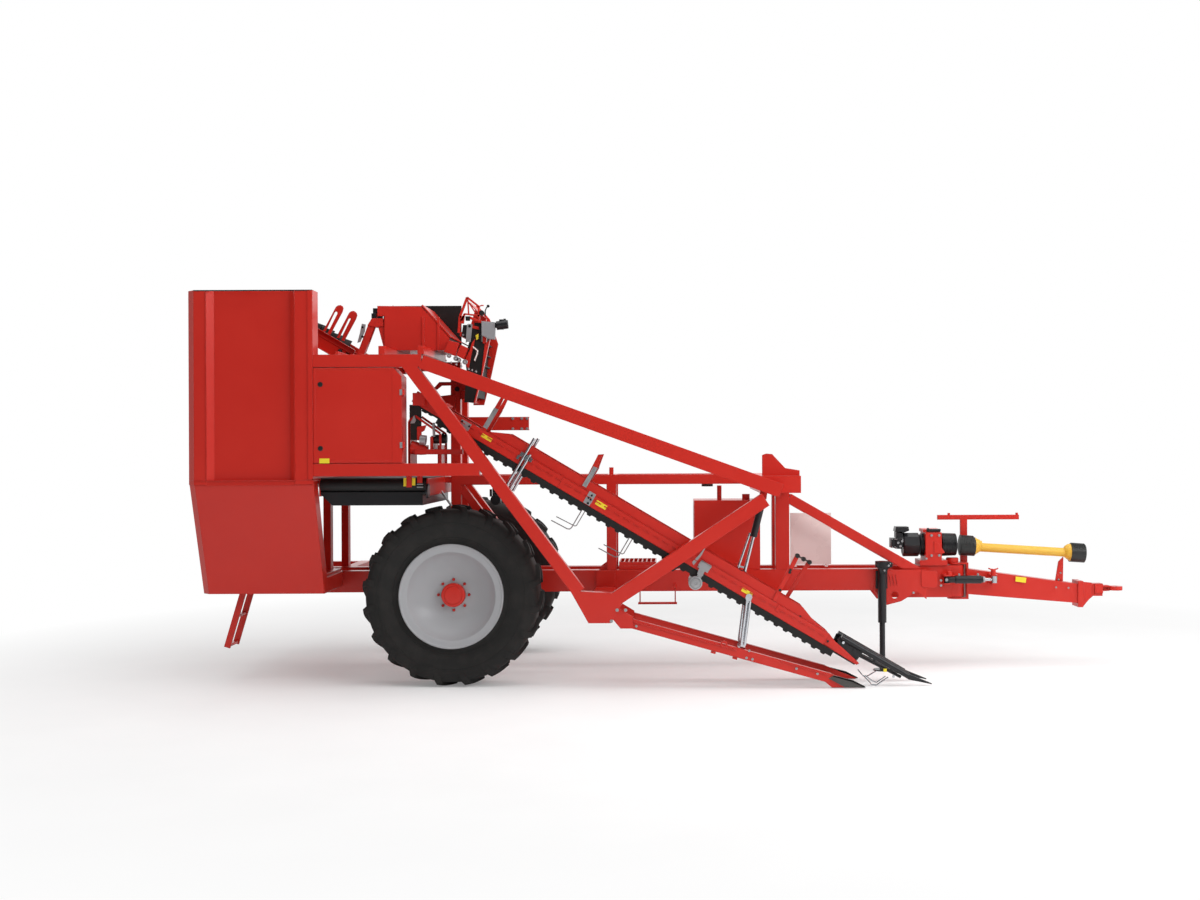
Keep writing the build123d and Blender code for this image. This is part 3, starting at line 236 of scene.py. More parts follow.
redEnamel = makeEnamel("sprayedRedEnamel", "#c6251a", "#cf2b1e", 0.3, 0.16)
rimEnamel = makeEnamel("sprayedSilverGreyEnamel", "#a3a4a7", "#abacaf", 0.38, 0.15)
blackEnamel = makeEnamel("sprayedBlackEnamel", "#17171a", "#1f1f22", 0.34, 0.2)
greyEnamel = makeEnamel("sprayedGreyEnamel", "#8f9194", "#9b9da0", 0.4, 0.1)
tyreRubber = makeRubber("mouldedTyreRubber", "#191817", "#2b2826", 0.72)
beltRubber = makeRubber("calenderedBeltRubber", "#121212", "#1d1c1b", 0.58)
zincSteel = makeZinc("hotDipZincSteel", "#b6b8ba", "#a0a2a4", 0.42)
wornSteel = makeZinc("soilPolishedSteel", "#5d5c5a", "#46443f", 0.38)
chromeSteel = makeChrome("groundHardChrome")
guardPlastic = makePlastic("mouldedYellowPolyethylene", "#e0a826", "#e9bc4c", 0.4)
conePlastic = makePlastic("mouldedBlackPolyethylene", "#191a19", "#242523", 0.42)
# pale sheet, and the bent handle, whose pale colour is a painted highlight on red paint
palePlasticAndHighlight = makePlastic("pressedPalePolycarbonateAndPaintedHighlight", "#f0e2de", "#f5ebe8", 0.25)
platePlastic = makePlastic("printedYellowVinyl", "#f0d81a", "#f3df3a", 0.35)
print("materials made:", len(bpy.data.materials))

# finish of each imported node; the rest of the machine is red
nodeFinishes = {
    "tyre_right": tyreRubber, "tyre_left": tyreRubber,
    "rim_right": rimEnamel, "rim_left": rimEnamel,
    "cross_belt": beltRubber, "cross_guard": blackEnamel, "lift_belts": beltRubber,
    "jack_tube": blackEnamel, "jack_leg": blackEnamel,
    "steer_barrel": blackEnamel, "lift_barrel": blackEnamel,
    "steer_rod": chromeSteel, "lift_rod": chromeSteel,
    "link_rods": zincSteel, "drive_shaft": guardPlastic, "pump_unit": blackEnamel,
    "lift_tensioner": zincSteel, "divider_bars": blackEnamel, "elevator_belts": beltRubber,
    "hopper_sheet": beltRubber, "elevator_motor": blackEnamel, "side_panel": palePlasticAndHighlight,
    "shaft_bells": conePlastic,
}
for nodeName, node in nodes.items():
    node.data.materials.clear()
    node.data.materials.append(nodeFinishes.get(nodeName, redEnamel))
print("packed nodes finished:", len(nodes))

# shapes: each size and place below is in millimetres, in the machine's own frame
toRight, forward, upward = (0, -1, 0), (1, 0, 0), (0, 0, 1)
liftPlace = {"x": -2486, "y": -1162, "z": 2768, "angle": 30.8}


def onUnit(along, across, height):
    # place on the lifting unit, measured along it, to the left and square to its belts
    angle = math.radians(liftPlace["angle"])
    return Vector((liftPlace["x"] + along * math.cos(angle) + height * math.sin(angle),
                   liftPlace["y"] + across,
                   liftPlace["z"] - along * math.sin(angle) + height * math.cos(angle)))


def sideSpan(side, inner, outer):
    # the same two distances on the unit's left (1) or right (-1) side, lower first
    return sorted((side * inner, side * outer))


def addPrism(shape, outline, shift):
    count = len(outline)
    points = [Vector(p) for p in outline] + [Vector(p) + Vector(shift) for p in outline]
    verts = [shape.verts.new(point / 1000) for point in points]
    faces = [tuple(reversed(range(count))), tuple(range(count, 2 * count))]
    faces += [(i, (i + 1) % count, count + (i + 1) % count, count + i) for i in range(count)]
    for face in faces:
        shape.faces.new([verts[i] for i in face])


def addPlates(shape, yNear, yFar, *outlines):
    # flat plates seen from the right, each by its own outline of x and z
    for outline in outlines:
        addPrism(shape, [(x, yNear, z) for x, z in outline], (0, yFar - yNear, 0))


def addUnitPlate(shape, outline, acrossNear, acrossFar):
    addPrism(shape, [onUnit(along, acrossNear, height) for along, height in outline],
             (0, acrossFar - acrossNear, 0))


def squareOutline(xLow, xHigh, zLow, zHigh):
    return [(xLow, zLow), (xHigh, zLow), (xHigh, zHigh), (xLow, zHigh)]


def addBoxes(shape, *corners):
    for (xLow, yLow, zLow), (xHigh, yHigh, zHigh) in corners:
        addPlates(shape, yLow, yHigh, squareOutline(xLow, xHigh, zLow, zHigh))


def addUnitBox(shape, alongLow, alongHigh, acrossLow, acrossHigh, low, high):
    addUnitPlate(shape, squareOutline(alongLow, alongHigh, low, high), acrossLow, acrossHigh)


def addBar(shape, start, end, depth, yNear, yFar):
    # flat bar between two places seen from the right
    run = Vector((end[0] - start[0], end[1] - start[1])).normalized()
    step = Vector((-run.y, run.x)) * (depth / 2)
    outline = [(x + step.x, z + step.y) for x, z in (start, end)]
    outline += [(x - step.x, z - step.y) for x, z in (end, start)]
    addPlates(shape, yNear, yFar, outline)


def addCircle(shape, centre, across, other, radius, sides):
    ring = []
    for step in range(sides):
        angle = 2 * math.pi * step / sides
        place = centre + (across * math.cos(angle) + other * math.sin(angle)) * radius
        ring.append(shape.verts.new(place / 1000))
    return ring


def addRing(shape, centre, axis, radius, sides):
    # points of one ring, square to the axis
    axis = Vector(axis).normalized()
    across = axis.orthogonal().normalized()
    return addCircle(shape, Vector(centre), across, axis.cross(across), radius, sides)


def joinRings(shape, rings, capped=True):
    count = len(rings[0])
    for ring, following in zip(rings, rings[1:]):
        for i in range(count):
            j = (i + 1) % count
            shape.faces.new((ring[i], ring[j], following[j], following[i]))
    if capped:
        shape.faces.new(tuple(reversed(rings[0])))
        shape.faces.new(rings[-1])


def addRod(shape, start, end, radius, sides=20):
    axis = Vector(end) - Vector(start)
    joinRings(shape, [addRing(shape, place, axis, radius, sides) for place in (start, end)])


def addDisc(shape, x, z, radius, yNear, yFar, sides=28):
    addRod(shape, (x, yNear, z), (x, yFar, z), radius, sides)


def addPost(shape, x, y, low, high, radius, sides=20):
    addRod(shape, (x, y, low), (x, y, high), radius, sides)


def addWire(shape, points, radius, sides=8):
    # bent round bar through these points, mitred at each bend
    points = [Vector(point) for point in points]
    runs = [(b - a).normalized() for a, b in zip(points, points[1:])]
    across = runs[0].orthogonal().normalized()
    rings = []
    for index, point in enumerate(points):
        before, after = runs[max(index - 1, 0)], runs[min(index, len(runs) - 1)]
        axis = (before + after).normalized()
        across = (across - axis * across.dot(axis)).normalized()
        rings.append(addCircle(shape, point, across, axis.cross(across), radius, sides))
    joinRings(shape, rings)


def addLathe(shape, centre, axis, profile, sides=40):
    # turned ring: each row of the closed profile is a radius and a distance along the axis
    axis = Vector(axis).normalized()
    rings = [addRing(shape, Vector(centre) + axis * run, axis, radius, sides)
             for radius, run in profile]
    joinRings(shape, rings + rings[:1], capped=False)


def addCollar(shape, centre, axis, radius, length, sides=40):
    # plain turned piece; its hair-fine bore keeps the end faces in rings
    addLathe(shape, centre, axis, [(radius, 0), (radius, length), (1, length), (1, 0)], sides)


def ribRows(count, pitch, radius, depth, taper=0):
    # profile of a ribbed sleeve with ribs 10 wide; a taper makes each smaller than the last
    rows = []
    for step in range(count):
        run, top = step * pitch, radius - step * taper
        rows += [(top, run), (top, run + 10), (top - depth, run + 11),
                 (top - depth, run + pitch - 1)]
    return rows


def addNut(shape, centre, axis, across, height):
    # hexagon with a shallow washer under it and the bolt's end standing out
    axis = Vector(axis).normalized()
    centre = Vector(centre)
    addRod(shape, centre, centre + axis * height * 0.2, across * 0.62, 16)
    addRod(shape, centre + axis * height * 0.2, centre + axis * height, across * 0.577, 6)
    addRod(shape, centre + axis * height, centre + axis * height * 1.35, across * 0.3, 10)


def addNuts(shape, y, across, height, *spots):
    # nuts that face right, at these places on one face
    for x, z in spots:
        addNut(shape, (x, y, z), toRight, across, height)


def addUnitNuts(shape, side, face, across, height, *spots):
    # nuts on one side face of the lifting unit
    for along, level in spots:
        addNut(shape, onUnit(along, side * face, level), (0, side, 0), across, height)


def finishPiece(shape, name, material, body="chassis", stands=(), crease=32):
    # closes the mesh and lets it ride on its body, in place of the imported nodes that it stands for
    bmesh.ops.recalc_face_normals(shape, faces=shape.faces)
    mesh = bpy.data.meshes.new(name)
    shape.to_mesh(mesh)
    shape.free()
    mesh.shade_smooth()
    mesh.set_sharp_from_angle(angle=math.radians(crease))
    mesh.materials.append(material)
    piece = bpy.data.objects.new(name, mesh)
    bpy.context.scene.collection.objects.link(piece)
    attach(piece, body)
    if stands:
        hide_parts(*stands)


# wheels
wheel = {
    "x": -2200, "y": 1100, "radius": 875,
    "lugCount": 20, "lugBase": 64, "lugTop": 46, "chevron": 9.5, "shoulderCut": 14,
    "discDepth": 45, "nutCircle": 149, "nutCount": 8, "nutAcross": 24, "nutHeight": 17,
}
# half of the carcass: radius and distance from the middle of the tyre
carcassRows = [
    (838, 0), (838, 100), (834, 150), (824, 186), (806, 208), (778, 219), (738, 226), (690, 226),
    (640, 221), (590, 208), (552, 196), (530, 190), (516, 192), (503, 200)]
# moulded rings on each sidewall: radius and distance from the middle
sidewallRings = [(560, 199), (700, 225)]
# one lug from the middle of the tread over the shoulder: distance, top, foot, turn, width share
lugRows = [
    (-18, 872, 834, 0.0, 0.9), (50, 873, 834, 0.30, 0.95), (120, 872, 832, 0.62, 1.0),
    (176, 866, 822, 0.86, 1.05), (212, 842, 800, 1.0, 1.1), (228, 800, 770, 1.05, 1.1),
    (229, 752, 742, 1.06, 0.85)]
rimRows = [
    (503, 196), (504, 228), (499, 235), (491, 235), (486, 229), (480, 226), (434, 224), (426, 221),
    (422, 214), (410, 190), (388, 160), (356, 128), (318, 99), (278, 74), (244, 58), (214, 49),
    (180, 45.5), (103, 45.5), (103, 31), (214, 32), (260, 48), (340, 100), (400, 158), (436, 200),
    (470, 208), (484, 200), (484, -200), (476, -214), (486, -226), (500, -226), (503, -196)]
# hub cap: radius and distance from the face of the disc
capRows = [
    (102, -60), (102, 1), (116, 1), (116, 50), (112, 58), (104, 62), (92, 62), (89, 59), (86, 59),
    (83, 64), (60, 66), (2, 66), (2, -60)]


def addLug(shape, centre, side, row, angle):
    rings = []
    for distance, top, foot, turn, share in lugRows:
        along = angle + side * row * math.radians(wheel["chevron"]) * turn
        cut = wheel["shoulderCut"] if 200 < distance < 229 else 0
        ring = []
        for radius, drop, half in ((foot, 0, wheel["lugBase"]), (top, cut, wheel["lugTop"]),
                                   (top, cut, -wheel["lugTop"]), (foot, 0, -wheel["lugBase"])):
            spread = half / 2 * share / radius
            place = Vector((centre.x + (radius - drop) * math.sin(along + spread),
                            centre.y + row * distance,
                            centre.z + (radius - drop) * math.cos(along + spread)))
            ring.append(shape.verts.new(place / 1000))
        rings.append(ring)
    joinRings(shape, rings)


for name, side in (("Right", -1), ("Left", 1)):
    centre = Vector((wheel["x"], side * wheel["y"], wheel["radius"]))
    out = Vector((0, side, 0))
    body = "wheel_" + name.lower()
    tyre = bmesh.new()
    innerHalf = [(radius, -distance) for radius, distance in reversed(carcassRows[1:])]
    addLathe(tyre, centre, out, innerHalf + carcassRows, 120)
    for radius, depth in sidewallRings:
        for face in (-1, 1):
            addLathe(tyre, centre, out,
                     [(radius, face * (depth - 4)), (radius + 3, face * (depth + 3.5)),
                      (radius + 9, face * (depth + 3.5)), (radius + 12, face * (depth - 4))], 96)
    for row, stagger in ((-1, 0), (1, 0.5)):
        for index in range(wheel["lugCount"]):
            angle = 2 * math.pi * (index + stagger) / wheel["lugCount"]
            addLug(tyre, centre, side, row, angle)
    finishPiece(tyre, "treadTyre" + name, tyreRubber, body, ("tyre_" + name.lower(),), crease=38)

    rim = bmesh.new()
    addLathe(rim, centre, out, rimRows, 128)
    finishPiece(rim, "dishedRim" + name, rimEnamel, body, ("rim_" + name.lower(),), crease=42)

    cap = bmesh.new()
    front = wheel["discDepth"]
    addLathe(cap, centre, out, [(radius, front + run) for radius, run in capRows], 72)
    for index in range(wheel["nutCount"]):
        angle = 2 * math.pi * index / wheel["nutCount"]
        turn = Vector((math.cos(angle), 0, math.sin(angle)))
        spot = centre + out * (front + 0.5) + turn * wheel["nutCircle"]
        addNut(cap, spot, out, wheel["nutAcross"], wheel["nutHeight"])
    finishPiece(cap, "hubCap" + name, redEnamel, body, ("hub_" + name.lower(),))
print("wheels made")

# lifting unit: places are along the unit, to its left and square to its belts
liftSide = {"face": 180, "guardFace": 160, "leverThick": 12, "zincThick": 4, "labelThick": 1.5}
leverFace = liftSide["guardFace"] + liftSide["leverThick"]
sleeveFace = leverFace + liftSide["zincThick"]
zincFace = liftSide["face"] + liftSide["zincThick"]
# levers that stand on the unit: outline, side, height where the zinc sleeve ends (0 for none)
leverTable = [
    ([(655, 60), (696, 60), (694, 330), (684, 431), (655, 404)], (-1, 1), 298),
    ([(1760, 60), (1800, 60), (1796, 300), (1772, 436), (1738, 412)], (-1, 1), 298),
    ([(3884, 60), (3926, 60), (3896, 566), (3854, 552)], (-1,), 0),
    ([(4010, 60), (4050, 60), (4068, 560), (4026, 546)], (1,), 0)]
levers, sleeves = bmesh.new(), bmesh.new()
for outline, sides, sleeveTop in leverTable:
    for side in sides:
        addUnitPlate(levers, outline, *sideSpan(side, liftSide["guardFace"], leverFace))
        if sleeveTop:
            # stiffening flange along the lever's front edge, and the sleeve over its foot
            (footX, footW), (headX, headW) = outline[1:3]
            addUnitPlate(levers, [(footX - 5, footW), (footX, footW), (headX, headW),
                                  (headX - 5, headW)], *sideSpan(side, 150, liftSide["guardFace"]))
            left, right = outline[0][0] - 3, outline[1][0] + 1
            addUnitPlate(sleeves, [(left, 80), (right, 80), (right, sleeveTop),
                                   (left, sleeveTop - 6)], *sideSpan(side, leverFace, sleeveFace))
            middle = (left + right) / 2
            addUnitNuts(sleeves, side, sleeveFace, 17, 9, (middle, 112), (middle, 262))
finishPiece(levers, "haulmLevers", redEnamel, "lifting_unit", ("lift_levers",))

# zinc wear plates bolted to the channels: along low and high, height low and high, bolt places
wearPlates = [(441, 551, -27, 44, [(456, 24), (538, 18)]),
              (1846, 1917, -54, 72, [(1886, 44), (1869, 10), (1897, 4), (1891, -38)])]
plateBolts = bmesh.new()
for uLow, uHigh, wLow, wHigh, bolts in wearPlates:
    for side in (-1, 1):
        addUnitBox(sleeves, uLow, uHigh, *sideSpan(side, liftSide["face"], zincFace), wLow, wHigh)
        addUnitNuts(plateBolts, side, zincFace, 17, 10, *bolts)

# twin round guides clamped beside each channel, in front of the belts
guideRods = bmesh.new()
for side in (-1, 1):
    y = side * 198
    addRod(guideRods, onUnit(1137, y, 236), onUnit(1137, y, -350), 15)
    addRod(guideRods, onUnit(1181, y, 84), onUnit(1181, y, -335), 14)
    addUnitBox(guideRods, 1092, 1206, *sideSpan(side, 180, 186), 12, 66)
    for u in (1160, 1206):
        addUnitBox(guideRods, u - 7, u, *sideSpan(side, 186, 216), 18, 60)
    addUnitBox(guideRods, 1080, 1104, *sideSpan(side, 180, 200), -18, 22)
    addUnitNuts(guideRods, side, 183, 15, 9, (1216, 28), (1216, 50))
finishPiece(guideRods, "guideRods", chromeSteel, "lifting_unit")

# keepers of bent round bar that hang through the gap between the belts
keepers = bmesh.new()
for u in (1867, 2400):
    for bends, radius in (([(0, 60), (2, -335), (-8, -358), (-30, -366), (-205, -374)], 5.5),
                          ([(34, 60), (33, -290), (22, -306), (-180, -318)], 5)):
        addWire(keepers, [onUnit(u + step, 0, w) for step, w in bends], radius)
finishPiece(keepers, "beltKeepers", zincSteel, "lifting_unit")

# yellow plates left blank, on the right side only
blankPlates = bmesh.new()
labelFace = liftSide["face"] + liftSide["labelThick"]
for uLow, uHigh, wLow, wHigh in ((682, 792, -9, 27), (1951, 2066, -11, 34), (3580, 3694, -16, 22)):
    addUnitBox(blankPlates, uLow, uHigh, -labelFace, -liftSide["face"], wLow, wHigh)
finishPiece(blankPlates, "blankPlatesLift", platePlastic, "lifting_unit")

# tensioner: folded bracket, roller face and its strap, with a scraper behind
tensioner = {
    "bracket": [(3098, -6), (3104, 47), (3220, 42), (3213, -12), (3178, -14), (3192, -80),
                (3134, -88), (3120, -12)],
    "strap": [(3037, -17), (3060, 78), (3076, 198), (3082, 84), (3064, -36)],
    "roller": (3165, -196, -172),
    "rollerRows": [(66, -2), (66, 5), (60, 8), (54, 8), (50, 3), (46, 3), (44, 10), (34, 12),
                   (14, 12), (12, 8), (0.5, 8), (0.5, -2)],
}
clampBox = bmesh.new()
addUnitPlate(clampBox, tensioner["bracket"], -214, -206.5)
addUnitBox(clampBox, 3104, 3216, -214, -180, 40, 47)
addUnitNuts(clampBox, -1, 214, 15, 8, (3116, 30), (3200, 28), (3162, -52))
addLathe(clampBox, onUnit(*tensioner["roller"]), toRight, tensioner["rollerRows"], 64)
addUnitPlate(sleeves, tensioner["strap"], -186, -180)
finishPiece(clampBox, "tensionerFace", zincSteel, "lifting_unit")
scraper = bmesh.new()
addUnitPlate(scraper, [(2888, -198), (2896, -176), (2932, -128), (2960, -112), (2950, -140),
                       (2925, -192)], -150, 120)
# black discs where the unit has holes: painted shade inside the holes
for u, w in ((4195, 60), (4442, 3), (4545, -11)):
    addRod(scraper, onUnit(u, -161, w), onUnit(u, -166, w), 11)
finishPiece(scraper, "belt_scraper", blackEnamel, "lifting_unit")

# crank rod over the unit with its black grips
cranks = bmesh.new()
crankHeight = 548
addRod(cranks, onUnit(3873, -198, crankHeight), onUnit(4047, 198, crankHeight), 8)
for u, across in ((3873, -168), (3960, 0), (4047, 168)):
    grip = [onUnit(u, across + step, crankHeight) for step in (-42, -34, 34)]
    addRod(cranks, grip[1], grip[2], 19)
    addRod(cranks, grip[0], grip[1], 24, 8)
addUnitNuts(cranks, -1, leverFace, 22, 12, (3888, 398), (3894, 374), (3900, 180))
finishPiece(cranks, "crankGrips", conePlastic, "lifting_unit")

# channel joints: cover strip, flange lips between the cross bars, hooks
lipLengths = ((210, 40), (330, 40), (110, 26), (170, 30), (260, 30), (150, 36), (240, 40),
              (330, 44), (120, 30), (280, 50), (200, 40), (360, 40))
trims = bmesh.new()
for side in (-1, 1):
    cover = sideSpan(side, liftSide["face"], zincFace)
    addUnitPlate(trims, [(3955, -12), (3955, 56), (4010, 56), (4010, -12)], *cover)
    addUnitPlate(trims, [(1560, -56), (1560, 54), (1566, 54), (1566, -56)], *cover)
    start = 380
    for length, gap in lipLengths:
        if start + length < 4500:
            addUnitBox(trims, start, start + length, *sideSpan(side, 168, 181.5), 57, 61)
        start += length + gap
for u, w in ((3440, 150), (3500, 108)):
    turns = [math.radians(degrees) for degrees in range(-20, 150, 17)]
    addWire(trims, [onUnit(u + 34 * math.cos(turn), 10, w + 34 * math.sin(turn))
                    for turn in turns], 6)
finishPiece(trims, "flangeLips", redEnamel, "lifting_unit")
finishPiece(sleeves, "zincSleeves", zincSteel, "lifting_unit")
finishPiece(plateBolts, "plateBolts", blackEnamel, "lifting_unit")

# row of stitched tabs along the channels' outer faces
stitch = {"start": 420, "pitch": 108, "length": 74, "count": 38}
stitches = bmesh.new()
for side in (-1, 1):
    for step in range(stitch["count"]):
        start = stitch["start"] + step * stitch["pitch"]
        addUnitBox(stitches, start, start + stitch["length"], *sideSpan(side, 180, 187), 12, 20)
finishPiece(stitches, "stitchTabs", redEnamel, "lifting_unit")

# outer run of the near and far belts, hanging below the channels with its lugs
beltRun = {"start": 240, "end": 4640, "low": -122, "high": -60, "lugPitch": 104, "lugCount": 42}
beltRuns = bmesh.new()
for side in (-1, 1):
    addUnitBox(beltRuns, beltRun["start"], beltRun["end"], *sideSpan(side, 177, 150),
               beltRun["low"], beltRun["high"])
    for step in range(beltRun["lugCount"]):
        start = beltRun["start"] + 22 + step * beltRun["lugPitch"]
        addUnitPlate(beltRuns, [(start, -122), (start + 12, -140), (start + 44, -140),
                                (start + 56, -122)], *sideSpan(side, 177, 132))
finishPiece(beltRuns, "beltRuns", beltRubber, "lifting_unit")
print("lifting unit dressed")

# rear elevator: channels with outward lips, and rounded hairpins standing on them
rearElevator = {
    "foot": (-3880, 3565), "head": (-3290, 3215), "depth": 170,
    "lips": (82, 30, -82), "lipThick": 6, "hairpinStep": (138, -68),
    "hairpinOuter": [(-3574, 3480), (-3560, 3497), (-3440, 3722), (-3418, 3738), (-3392, 3741),
                     (-3370, 3729), (-3363, 3706), (-3374, 3671), (-3497, 3444)],
    "hairpinInner": [(-3524, 3458), (-3424, 3656), (-3427, 3672), (-3440, 3677), (-3452, 3668),
                     (-3544, 3478)],
}
elevator = bmesh.new()
ends = (rearElevator["foot"], rearElevator["head"])
hairpin = rearElevator["hairpinOuter"] + rearElevator["hairpinInner"]
stepX, stepZ = rearElevator["hairpinStep"]
for near, far, lipNear, lipFar, hairpins in ((-700, -690, -734, -700, 2),
                                             (-120, -110, -110, -84, 1)):
    addBar(elevator, *ends, rearElevator["depth"], near, far)
    for offset in rearElevator["lips"]:
        lip = Vector((350, 590)).normalized() * offset
        addBar(elevator, *[(x + lip.x, z + lip.y) for x, z in ends], rearElevator["lipThick"],
               near - 6 if offset == 30 else lipNear, lipFar)
    for count in range(hairpins):
        addPlates(elevator, near - 12, near - 2,
                  [(x + stepX * count, z + stepZ * count) for x, z in hairpin])
for x, z in ((-3840, 3541), (-3330, 3239)):
    addDisc(elevator, x, z, 30, -700, -110)
finishPiece(elevator, "hairpinElevator", redEnamel, stands=("rear_elevator",))
rollerEnds = bmesh.new()
for x, z in ((-3400, 3275), (-3840, 3541)):
    addDisc(rollerEnds, x, z, 24, -716, -700)
    addNuts(rollerEnds, -716, 22, 14, (x, z))
addBoxes(rollerEnds, ((-3047, -880, 3592), (-3000, -820, 3640)),
         ((-3034, -870, 3640), (-2992, -830, 3692)),
         ((-2988, -880, 3592), (-2944, -820, 3660)), ((-2980, -866, 3660), (-2955, -838, 3684)))
for z in range(3395, 3601, 16):
    addPost(rollerEnds, -2895, -850, z, z + 9, 30, 16)
finishPiece(rollerEnds, "rollerEnds", blackEnamel)

# hopper's stand with its trestle
stand = bmesh.new()
addBoxes(stand, ((-2850, -1500, 3190), (-2790, -200, 3269.7)),
         ((-2480, -1500, 3190), (-2420, -200, 3269.7)),
         ((-2850, -300, 3100), (-2255, -200, 3190)), ((-2355, -300, 3000), (-2255, -200, 3100)),
         ((-3420, -1400, 3071), (-3345, -100, 3148.6)),
         ((-3390, -300, 3071), (-2820, -200, 3148.6)),
         ((-3260, -880, 3190), (-2850, -810, 3220)), ((-3260, -1500, 3190), (-3230, -810, 3220)))
addBar(stand, (-3170, 3200), (-3040, 3540), 66, -880, -810)
addBar(stand, (-2872, 3200), (-2958, 3530), 56, -880, -810)
addPlates(stand, -888, -806, [(-3086, 3520), (-3042, 3590), (-2930, 3590), (-2924, 3512),
                              (-3000, 3500)])
finishPiece(stand, "hopperTrestle", redEnamel, stands=("hopper_stand",))

# drive boxes below the hopper's front, and the folded lid over its slope
driveBoxes = bmesh.new()
addPlates(driveBoxes, -972, -902,
          [(-2317, 3250), (-2262, 3362), (-2168, 3336), (-2200, 3205)],
          [(-2194, 3214), (-2150, 3320), (-2080, 3287), (-2122, 3174)])
for x in (-2530, -2380):
    addBoxes(driveBoxes, ((x - 14, -908, 3270), (x + 14, -900, 3600)))
addPlates(driveBoxes, -905, -222, [(-2548, 3712), (-2536, 3722), (-2262, 3412), (-2150, 3352),
                                   (-2152, 3340), (-2270, 3400)])
finishPiece(driveBoxes, "hopperBoxes", redEnamel)

# grooved pulleys under the drive boxes, bolts along the sloping beam, plate on the trestle
pulleys = bmesh.new()
for x, z, radius in ((-2263, 3210, 22), (-2195, 3182, 25), (-2165, 3168, 22), (-2106, 3147, 25)):
    groove = radius - 5
    addLathe(pulleys, (x, -972, z), toRight,
             [(radius, 0), (radius, 4), (groove, 8), (groove, 14), (radius, 18), (radius, 22),
              (5, 22), (5, 0)], 32)
beamFace = Vector((0.335, 0, 0.942))        # square to the sloping beam
for x, z in ((-2221, 3123), (-2173, 3105), (-2123, 3087), (-2075, 3069), (-2006, 3044),
             (-1974, 3033), (-1937, 3019)):
    addNut(pulleys, (x, -1450, z), beamFace, 18, 14)
addPlates(pulleys, -896, -888, [(-3139, 3536), (-3101, 3529), (-3109, 3460), (-3155, 3355),
                                (-3185, 3347), (-3160, 3440)])
finishPiece(pulleys, "zincPulleys", zincSteel)

# steep elevator: open frame on top, and red strips along its edges
steepSides = [(-2092, 3790), (-2196, 3440), (-2150, 3400), (-2100, 3060), (-2130, 2746),
              (-2018, 2746), (-1948, 3023), (-1869, 3379), (-1955, 3637)]
frameBars = [((-2094, 3792), (-2166, 3600), 22), ((-2166, 3600), (-2178, 3440), 24),
             ((-2094, 3792), (-1978, 3700), 20), ((-1978, 3704), (-1978, 3572), 20),
             ((-2124, 3628), (-1972, 3610), 16), ((-2088, 3770), (-2080, 3632), 12),
             ((-2080, 3745), (-2014, 3640), 12), ((-2066, 3590), (-1934, 3540), 26),
             ((-2150, 3560), (-2120, 3628), 20)]
steep = bmesh.new()
addPlates(steep, -238, -230, steepSides)
for start, end, depth in frameBars:
    addBar(steep, start, end, depth, -912, -888)
for near, far, outline in (
        (-912, -870, [(-1940, 3525), (-1905, 3580), (-1905, 3335), (-1940, 3335)]),
        (-908, -860, [(-1921, 3330), (-1869, 3379), (-1948, 3023), (-2018, 2746), (-2034, 2746),
                      (-1958, 3024)]),
        (-912, -880, [(-2165, 3609), (-2120, 3609), (-2128, 3533), (-2160, 3533)]),
        (-912, -870, [(-2046, 3345), (-2014, 3384), (-2050, 3240), (-2080, 3088), (-2102, 3106),
                      (-2112, 3190), (-2074, 3260)]),
        (-904, -880, [(-2060, 3520), (-1980, 3500), (-1976, 3470), (-2052, 3488)])):
    addPlates(steep, near, far, outline)
addBar(steep, (-2092, 3760), (-1985, 3640), 8, -892, -238)
addBoxes(steep, ((-2110, -892, 2760), (-2070, -238, 2800)),
         ((-2170, -892, 3410), (-2130, -238, 3450)), ((-2254.7, -300, 2900), (-2090, -230, 2980)))
addWire(steep, [(-1978, -900, 3702), (-1950, -900, 3712), (-1931, -900, 3711)], 6)
finishPiece(steep, "steepFrame", redEnamel, stands=("steep_elevator",))

# rubber curtain on its side, round buffers, and a bent rod in a rubber sleeve
curtain = bmesh.new()
for near, far, outline in (
        (-900, -892, [(-2066, 3380), (-1922, 3332), (-1958, 3024), (-2020, 2752), (-2128, 2752),
                      (-2102, 3060), (-2122, 3200)]),
        (-896, -884, [(-2137, 3520), (-2020, 3520), (-2036, 3345), (-2153, 3412)]),
        (-914, -890, [(-2112, 3604), (-2064, 3604), (-2068, 3560), (-2108, 3560)])):
    addPlates(curtain, near, far, outline)
addDisc(curtain, -1951, 3637, 26, -912, -880, 20)
addDisc(curtain, -1886, 3704, 14, -912, -896, 20)
addWire(curtain, [(-1916, -900, 3600), (-1916, -900, 3660), (-1902, -900, 3690),
                  (-1886, -900, 3704)], 6)
addDisc(curtain, -2069, 3505, 14, -917, -914, 20)
finishPiece(curtain, "rubberCurtain", beltRubber)

# adjusting plate, bent handle, yellow plates, gearbox and drive on the same side
slotPlate = bmesh.new()
addPlates(slotPlate, -913, -907, [(-2096, 3518), (-2088, 3529), (-2050, 3529), (-2042, 3518),
                                  (-2060, 3350), (-2108, 3350)])
addPlates(slotPlate, -913, -900, [(-2106, 3366), (-2098, 3366), (-2104, 3340), (-2110, 3340)])
addDisc(slotPlate, -2134, 3420, 9, -900, -914, 20)
finishPiece(slotPlate, "adjusterPlate", zincSteel)
# the bent handle is red paint; its pale colour is a painted highlight
handle = bmesh.new()
addWire(handle, [(-2034, -900, 3299), (-2034, -914, 3299), (-1991, -914, 3262),
                 (-1999, -914, 3222), (-2020, -914, 3170), (-2020, -900, 3166)], 8)
finishPiece(handle, "handlePaintedHighlight", palePlasticAndHighlight)
marks = bmesh.new()
addPlates(marks, -906, -900, [(-2013, 3418), (-1981, 3434), (-1984, 3380), (-2003, 3368)])
addBoxes(marks, ((-2648, -1337, 1935), (-2616, -1334, 2016)),
         ((-2567, -1337, 1943), (-2535, -1334, 2016)))
finishPiece(marks, "yellowPlates", platePlastic)
gearBox = bmesh.new()
